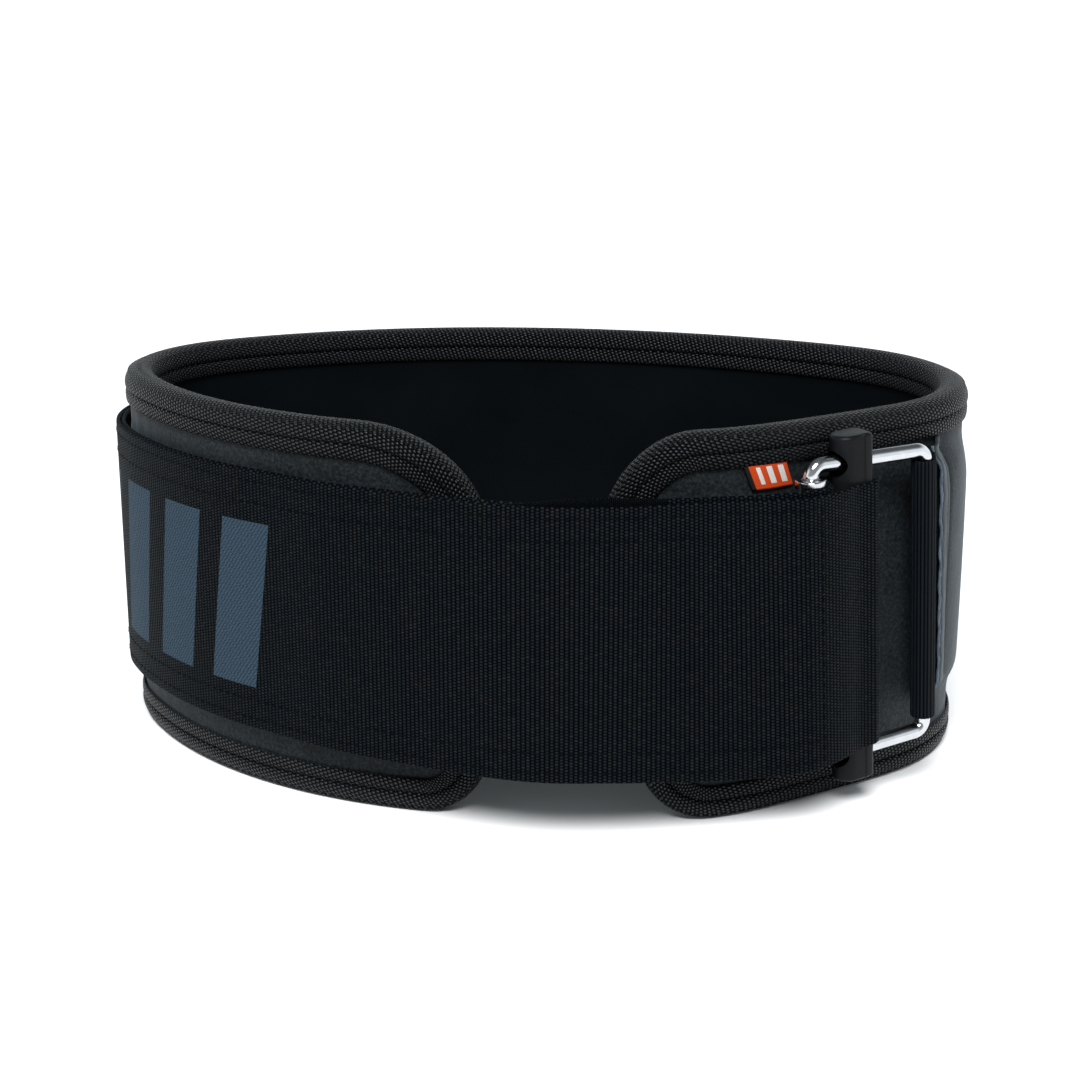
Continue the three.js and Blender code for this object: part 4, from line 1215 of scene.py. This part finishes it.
def tube(name, centres, outs, radius, sides=24):
    """A closed ring of round wire through centres, each with an outward direction in the y = 0 plane."""
    angles = np.linspace(0, 2 * math.pi, sides, endpoint=False)
    rings = (
        centres[:, None]
        + outs[:, None] * (radius * np.cos(angles))[None, :, None]
        + np.array([0, 1, 0]) * (radius * np.sin(angles))[None, :, None]
    )
    return lofted(name, rings, closed_run=True)


class BELT_OT_buckle(bpy.types.Operator):
    """Build the wire frame, its sleeve and the sliding post"""

    bl_idname = "belt.buckle"
    bl_label = "Buckle"

    def execute(self, context):
        form, colours = belt_form(context)
        plate = plate_material(colours)
        finished(self.wire(form), plate, ["buckle_frame"])
        finished(self.sleeve(form), plate, ["roller_sleeve"])
        finished(self.post(form), plastic_material(colours), ["slider_post"])
        return {"FINISHED"}

    def wire(self, form):
        sizes = form.sizes
        fall = math.tan(math.radians(UPPER_WIRE_FALL))
        corners = (
            (form.bar_x, 1, 90, 0),
            (form.bar_x, -1, 0, -90),
            (form.sleeve_x, -1, -90, -180),
            (form.sleeve_x, 1, 180, 90),
        )
        centres, outs = [], []
        for x, up, start, stop in corners:
            z = up * sizes.frame_height / 2 - (x * fall if up > 0 else 0)
            for angle in np.radians(np.linspace(start, stop, 14)):
                out = np.array([math.cos(angle), 0, math.sin(angle)])
                middle = np.array([x - np.sign(x) * sizes.wire_bend, 0, z - up * sizes.wire_bend])
                centres.append(middle + out * sizes.wire_bend)
                outs.append(out)
        made = tube("buckle_wire", np.array(centres), np.array(outs), sizes.wire_diameter / 2)
        return in_place(made, form.buckle_matrix())

    def sleeve(self, form):
        sizes = form.sizes
        bore = (sizes.wire_diameter + sizes.sleeve_play) / 2
        outer = sizes.sleeve_diameter / 2
        half = sizes.frame_height / 2 - sizes.wire_bend - sizes.clearance
        rim = 0.35 * MM
        turn = np.radians(np.linspace(0, 90, 5))
        upper = [(outer - rim + rim * math.cos(a), half - rim + rim * math.sin(a)) for a in turn]
        profile = [*upper, (bore + 0.2 * MM, half), (bore, half - 0.2 * MM)]
        profile = np.array([(r, z + 0.9 * MM) for r, z in profile] + [(r, -z) for r, z in reversed(profile)])
        angles = np.linspace(0, 2 * math.pi, 48, endpoint=False)
        rings = np.stack(
            [
                form.sleeve_x + profile[None, :, 0] * np.cos(angles)[:, None],
                profile[None, :, 0] * np.sin(angles)[:, None],
                np.broadcast_to(profile[None, :, 1], (len(angles), len(profile))),
            ],
            -1,
        )
        made = lofted("buckle_sleeve", rings, closed_run=True)
        return in_place(made, form.buckle_matrix())

    def post_section(self, form):
        """Round left side, two small round corners at the right, and a shallow line beside the right rib."""
        sizes = form.sizes
        half_width, half_depth, corner = sizes.post_width / 2, sizes.post_depth / 2, sizes.post_corner
        left = np.radians(np.linspace(90, 270, 25))
        lower = np.radians(np.linspace(-90, 0, 8))
        upper = np.radians(np.linspace(0, 90, 8))
        points = [(-half_width + half_depth + half_depth * math.cos(a), half_depth * math.sin(a)) for a in left]
        rib = half_width - 3.2 * MM
        points += [(rib - 0.5 * MM, -half_depth), (rib - 0.2 * MM, -half_depth + 0.3 * MM), (rib + 0.1 * MM, -half_depth)]
        points += [
            (half_width - corner + corner * math.cos(a), -half_depth + corner + corner * math.sin(a)) for a in lower[1:]
        ]
        points += [
            (half_width - corner + corner * math.cos(a), half_depth - corner + corner * math.sin(a)) for a in upper
        ]
        return np.array(points)

    def post(self, form):
        sizes = form.sizes
        section = self.post_section(form)
        half = sizes.post_height / 2
        round_off = 1.1 * MM
        angles = np.radians(np.linspace(0, 90, 7))
        levels = [(half - round_off + round_off * math.sin(a), round_off * (1 - math.cos(a))) for a in angles]
        levels = [(-z, pull) for z, pull in reversed(levels)] + levels
        rings = []
        for z, pull in levels:
            shrink = 1 - pull / (sizes.post_depth / 2)
            rings.append(np.column_stack([section[:, 0] * (1 - pull / (sizes.post_width / 2)), section[:, 1] * shrink, np.full(len(section), z)]))
        made = lofted("slider_post_moulding", rings)
        for up in (-1, 1):
            self.bore(form, made, up * sizes.frame_height / 2)
        edge = made.modifiers.new("edges", "BEVEL")
        edge.width, edge.segments, edge.limit_method, edge.angle_limit = 0.25 * MM, 2, "ANGLE", math.radians(50)
        applied(made)
        made.data.set_sharp_from_angle(angle=math.radians(40))
        return in_place(made, form.buckle_matrix())

    def bore(self, form, made, z):
        radius = (form.sizes.wire_diameter + form.sizes.post_hole_play) / 2
        angles = np.linspace(0, 2 * math.pi, 40, endpoint=False)
        ends = np.array([-form.sizes.post_width, form.sizes.post_width])
        rings = np.stack(
            [
                np.broadcast_to(ends[:, None], (2, 40)),
                np.broadcast_to(radius * np.cos(angles), (2, 40)),
                np.broadcast_to(z + radius * np.sin(angles), (2, 40)),
            ],
            -1,
        )
        cutter = lofted("bore_cutter", rings)
        cut = made.modifiers.new("bore", "BOOLEAN")
        cut.operation, cut.solver, cut.object = "DIFFERENCE", "EXACT", cutter
        applied(made)
        bpy.data.objects.remove(cutter)


class BELT_OT_tag(bpy.types.Operator):
    """Build the folded woven tag under the upper binding"""

    bl_idname = "belt.tag"
    bl_label = "Side tag"

    def execute(self, context):
        form, colours = belt_form(context)
        sizes = form.sizes
        top = sizes.belt_height - sizes.binding_reach + 1.3 * MM
        columns = np.linspace(0, 1, 26)
        down = np.linspace(0, 1, 16)
        across, fall = np.meshgrid(columns, down, indexing="ij")
        s = sizes.tag_place + sizes.tag_width * across + sizes.tag_slant * fall
        z = top - sizes.tag_drop * fall
        base = form.panel_offset(s, z) + sizes.clearance
        wave = 0.25 * MM * np.sin(across * math.pi * 1.3 + 0.4) * fall
        face = form.bend(s, base + sizes.tag_thickness * 0.75 + wave, z)
        back = form.bend(s, base, z)[:, ::-1]
        uv = np.stack([across, 1 - fall], -1)
        made = lofted("woven_tag", np.concatenate([face, back], 1), np.concatenate([uv, uv[:, ::-1]], 1))
        finished(made, tag_material(colours), ["side_tag"])
        return {"FINISHED"}


def stitch_tree():
    """Geometry Nodes that lay stitches of thread along a line at an even pitch."""
    tree = bpy.data.node_groups.new("stitch_line", "GeometryNodeTree")
    tree.is_modifier = True
    face = tree.interface
    face.new_socket("Line", in_out="INPUT", socket_type="NodeSocketGeometry")
    for name, value in (("Pitch", 3 * MM), ("Stitch length", 2.3 * MM), ("Thread radius", 0.25 * MM)):
        socket = face.new_socket(name, in_out="INPUT", socket_type="NodeSocketFloat")
        socket.default_value = value
    face.new_socket("Thread", in_out="INPUT", socket_type="NodeSocketMaterial")
    face.new_socket("Stitches", in_out="OUTPUT", socket_type="NodeSocketGeometry")
    add, link = tree.nodes.new, tree.links.new
    source, target = add("NodeGroupInput"), add("NodeGroupOutput")
    curve = add("GeometryNodeMeshToCurve")
    evenly = add("GeometryNodeResampleCurve")
    evenly.mode = "LENGTH"
    ball = add("GeometryNodeMeshUVSphere")
    ball.inputs["Segments"].default_value, ball.inputs["Rings"].default_value = 8, 6
    ball.inputs["Radius"].default_value = 1.0
    tangent = add("GeometryNodeInputTangent")
    align = add("FunctionNodeAlignEulerToVector")
    align.axis = "Z"
    size = add("ShaderNodeCombineXYZ")
    halved = add("ShaderNodeMath")
    halved.operation = "MULTIPLY"
    halved.inputs[1].default_value = 0.5
    copies = add("GeometryNodeInstanceOnPoints")
    real = add("GeometryNodeRealizeInstances")
    coat = add("GeometryNodeSetMaterial")
    link(source.outputs["Line"], curve.inputs["Mesh"])
    link(curve.outputs["Curve"], evenly.inputs["Curve"])
    link(source.outputs["Pitch"], evenly.inputs["Length"])
    link(evenly.outputs["Curve"], copies.inputs["Points"])
    link(ball.outputs["Mesh"], copies.inputs["Instance"])
    link(tangent.outputs["Tangent"], align.inputs["Vector"])
    link(align.outputs["Rotation"], copies.inputs["Rotation"])
    link(source.outputs["Stitch length"], halved.inputs[0])
    link(source.outputs["Thread radius"], size.inputs["X"])
    link(source.outputs["Thread radius"], size.inputs["Y"])
    link(halved.outputs[0], size.inputs["Z"])
    link(size.outputs[0], copies.inputs["Scale"])
    link(copies.outputs["Instances"], real.inputs["Geometry"])
    link(real.outputs["Geometry"], coat.inputs["Geometry"])
    link(source.outputs["Thread"], coat.inputs["Material"])
    link(coat.outputs["Geometry"], target.inputs["Stitches"])
    return tree


def stitched(name, tree, lines, thread, pitch, stitch, radius):
    """Stitches along lines of points, as one plain mesh."""
    points = np.concatenate(lines)
    edges, at = [], 0
    for line in lines:
        edges += [(at + i, at + i + 1) for i in range(len(line) - 1)]
        at += len(line)
    mesh = bpy.data.meshes.new(name)
    mesh.from_pydata(points.tolist(), edges, [])
    made = bpy.data.objects.new(name, mesh)
    bpy.context.scene.collection.objects.link(made)
    modifier = made.modifiers.new("stitches", "NODES")
    modifier.node_group = tree
    names = {item.name: item.identifier for item in tree.interface.items_tree if item.in_out == "INPUT"}
    modifier[names["Pitch"]] = float(pitch)
    modifier[names["Stitch length"]] = float(stitch)
    modifier[names["Thread radius"]] = float(radius)
    modifier[names["Thread"]] = thread
    applied(made)
    made.data.polygons.foreach_set("use_smooth", [True] * len(made.data.polygons))
    return made


class BELT_OT_stitching(bpy.types.Operator):
    """Sew the binding and the strap"""

    bl_idname = "belt.stitching"
    bl_label = "Stitching"

    def execute(self, context):
        form, colours = belt_form(context)
        thread = thread_material(colours)
        tree = stitch_tree()
        for name, lines, slot in (
            ("binding_stitches", self.binding_lines(form), "binding"),
            ("strap_stitches", self.strap_lines(form), "webbing"),
        ):
            made = stitched(name, tree, lines, thread, 2.9 * MM, 2.3 * MM, 0.2 * MM)
            finished(made, thread)
        return {"FINISHED"}

    def binding_lines(self, form):
        loop = form.outline(3 * MM)
        step = np.roll(loop, -1, axis=0) - np.roll(loop, 1, axis=0)
        step /= np.linalg.norm(step, axis=1, keepdims=True)
        places = loop + turned(step, math.pi / 2) * form.sizes.stitch_line
        places = np.concatenate([places, places[:1]])
        offset = form.half_edge - 0.66 * MM
        return [form.bend(places[:, 0], side * offset, places[:, 1]) for side in (-1, 1)]

    def strap_lines(self, form):
        sizes = form.sizes
        outer = form.strap_path()["outer"]
        half = sizes.strap_thickness / 2 + 0.02 * MM
        away = turned(directions(outer), math.pi / 2)
        face = outer + away * half
        run = run_along(outer)
        bottom, top = sizes.strap_lift, sizes.strap_lift + sizes.strap_width
        lines = []
        long = (run > 20 * MM) & (run < run[-1] - 5 * MM)
        lift = strap_rise(outer, np.zeros(len(outer), bool))[long]
        for z in (top - 3 * MM, top - 9 * MM, bottom + 3 * MM, bottom + 8.5 * MM):
            lines.append(form.leaned(face[long], z + lift * (z - bottom) / (top - bottom)))
        upright = np.linspace(bottom + 3 * MM, top - 3 * MM, 40)
        for place in (20 * MM, 24.5 * MM, run[-1] - 5 * MM, run[-1] - 8 * MM):
            at = face[int(np.searchsorted(run, place))]
            lines.append(form.leaned(np.repeat(at[None], 40, axis=0), upright))
        lines += self.sewn_end(form, half)
        return lines

    def sewn_end(self, form, half):
        """A box of stitches with one diagonal across it, where the inner ply is sewn to the panel."""
        sizes = form.sizes
        offset = form.body_face + sizes.clearance + sizes.strap_thickness / 2 + half
        far, near = sizes.belt_length - sizes.sewn_end_reach + 4 * MM, sizes.belt_length - sizes.free_end_reach - 6 * MM
        low, high = sizes.strap_lift + 4 * MM, sizes.strap_lift + sizes.strap_width - 4 * MM
        corners = [(far, low), (near, low), (near, high), (far, high), (far, low), (near, high)]
        lines = []
        for (s0, z0), (s1, z1) in zip(corners, corners[1:]):
            share = np.linspace(0, 1, 24)
            lines.append(form.bend(s0 + (s1 - s0) * share, offset, z0 + (z1 - z0) * share))
        return lines


class BELT_OT_stage(bpy.types.Operator):
    """Set the pale floor, the soft lights and the camera"""

    bl_idname = "belt.stage"
    bl_label = "Stage"

    def execute(self, context):
        form, colours = belt_form(context)
        self.floor(colours)
        self.lights(context)
        self.camera(context, form)
        return {"FINISHED"}

    def floor(self, colours):
        reach = 6.0
        points = [(-reach, -reach, 0), (reach, -reach, 0), (reach, reach, 0), (-reach, reach, 0)]
        made = new_mesh("floor", points, [(0, 1, 2, 3)], smooth_shading=False)
        made.data.materials.append(floor_material(colours))

    def lights(self, context):
        """A white tent: bright walls all round, darker overhead and behind the camera, and a soft key light."""
        world = bpy.data.worlds.new("studio")
        world.use_nodes = True
        tree = world.node_tree
        tree.nodes.clear()
        place = tree.nodes.new("ShaderNodeTexCoord")
        split = tree.nodes.new("ShaderNodeSeparateXYZ")
        tree.links.new(place.outputs["Generated"], split.inputs[0])
        shares = []
        for axis, low, high, at_low, at_high in (("Z", 0.3, 0.75, 1.3, 0.12), ("Y", -0.85, -0.2, 0.25, 1.0)):
            node = tree.nodes.new("ShaderNodeMapRange")
            node.interpolation_type = "SMOOTHSTEP"
            for name, value in (("From Min", low), ("From Max", high), ("To Min", at_low), ("To Max", at_high)):
                node.inputs[name].default_value = value
            tree.links.new(split.outputs[axis], node.inputs["Value"])
            shares.append(node.outputs[0])
        both = tree.nodes.new("ShaderNodeMath")
        both.operation = "MULTIPLY"
        tree.links.new(shares[0], both.inputs[0])
        tree.links.new(shares[1], both.inputs[1])
        glow = tree.nodes.new("ShaderNodeBackground")
        glow.inputs["Color"].default_value = (0.90, 0.97, 1.0, 1)
        tree.links.new(both.outputs[0], glow.inputs["Strength"])
        end = tree.nodes.new("ShaderNodeOutputWorld")
        tree.links.new(glow.outputs[0], end.inputs["Surface"])
        context.scene.world = world
        data = bpy.data.lights.new("key_light", "SUN")
        data.energy, data.angle, data.color = 4.7, math.radians(28), (1, 1, 1)
        lamp = bpy.data.objects.new("key_light", data)
        lamp.rotation_euler = Vector((0.08, 0.74, -0.95)).to_track_quat("-Z", "Y").to_euler()
        context.scene.collection.objects.link(lamp)

    def camera(self, context, form):
        data = bpy.data.cameras.new("camera")
        data.sensor_width = 36
        data.lens = 66.67
        data.clip_start, data.clip_end = 0.01, 50
        camera = bpy.data.objects.new("camera", data)
        camera.location = Vector(form.bend(0, 0, 0)) + Vector((-14.9, -504.8, 226.4)) * MM
        camera.rotation_euler = (math.radians(90 - 16.33), 0, 0)
        context.scene.collection.objects.link(camera)
        context.scene.camera = camera
        context.scene.view_settings.view_transform = "Standard"


class BELT_PT_sidebar(bpy.types.Panel):
    """Lists the belt's pieces and sizes"""

    bl_label = "Lifting belt"
    bl_space_type = "VIEW_3D"
    bl_region_type = "UI"
    bl_category = "Belt"

    def draw(self, context):
        column = self.layout.column()
        for operator in OPERATORS:
            column.operator(operator.bl_idname)
        for group in (context.scene.belt_sizes, context.scene.belt_colours):
            for name in group.__annotations__:
                column.prop(group, name)


OPERATORS = (
    BELT_OT_padded_cover,
    BELT_OT_lining,
    BELT_OT_binding,
    BELT_OT_buckle,
    BELT_OT_strap,
    BELT_OT_keeper,
    BELT_OT_tag,
    BELT_OT_stitching,
    BELT_OT_stage,
)
CLASSES = (BeltSizes, BeltColours, *OPERATORS, BELT_PT_sidebar)


def register():
    for item in CLASSES:
        bpy.utils.register_class(item)
    bpy.types.Scene.belt_sizes = PointerProperty(type=BeltSizes)
    bpy.types.Scene.belt_colours = PointerProperty(type=BeltColours)


def unregister():
    del bpy.types.Scene.belt_colours
    del bpy.types.Scene.belt_sizes
    for item in reversed(CLASSES):
        bpy.utils.unregister_class(item)


def main():
    register()
    for operator in OPERATORS:
        group, name = operator.bl_idname.split(".")
        getattr(getattr(bpy.ops, group), name)()


if __name__ == "__main__":
    main()
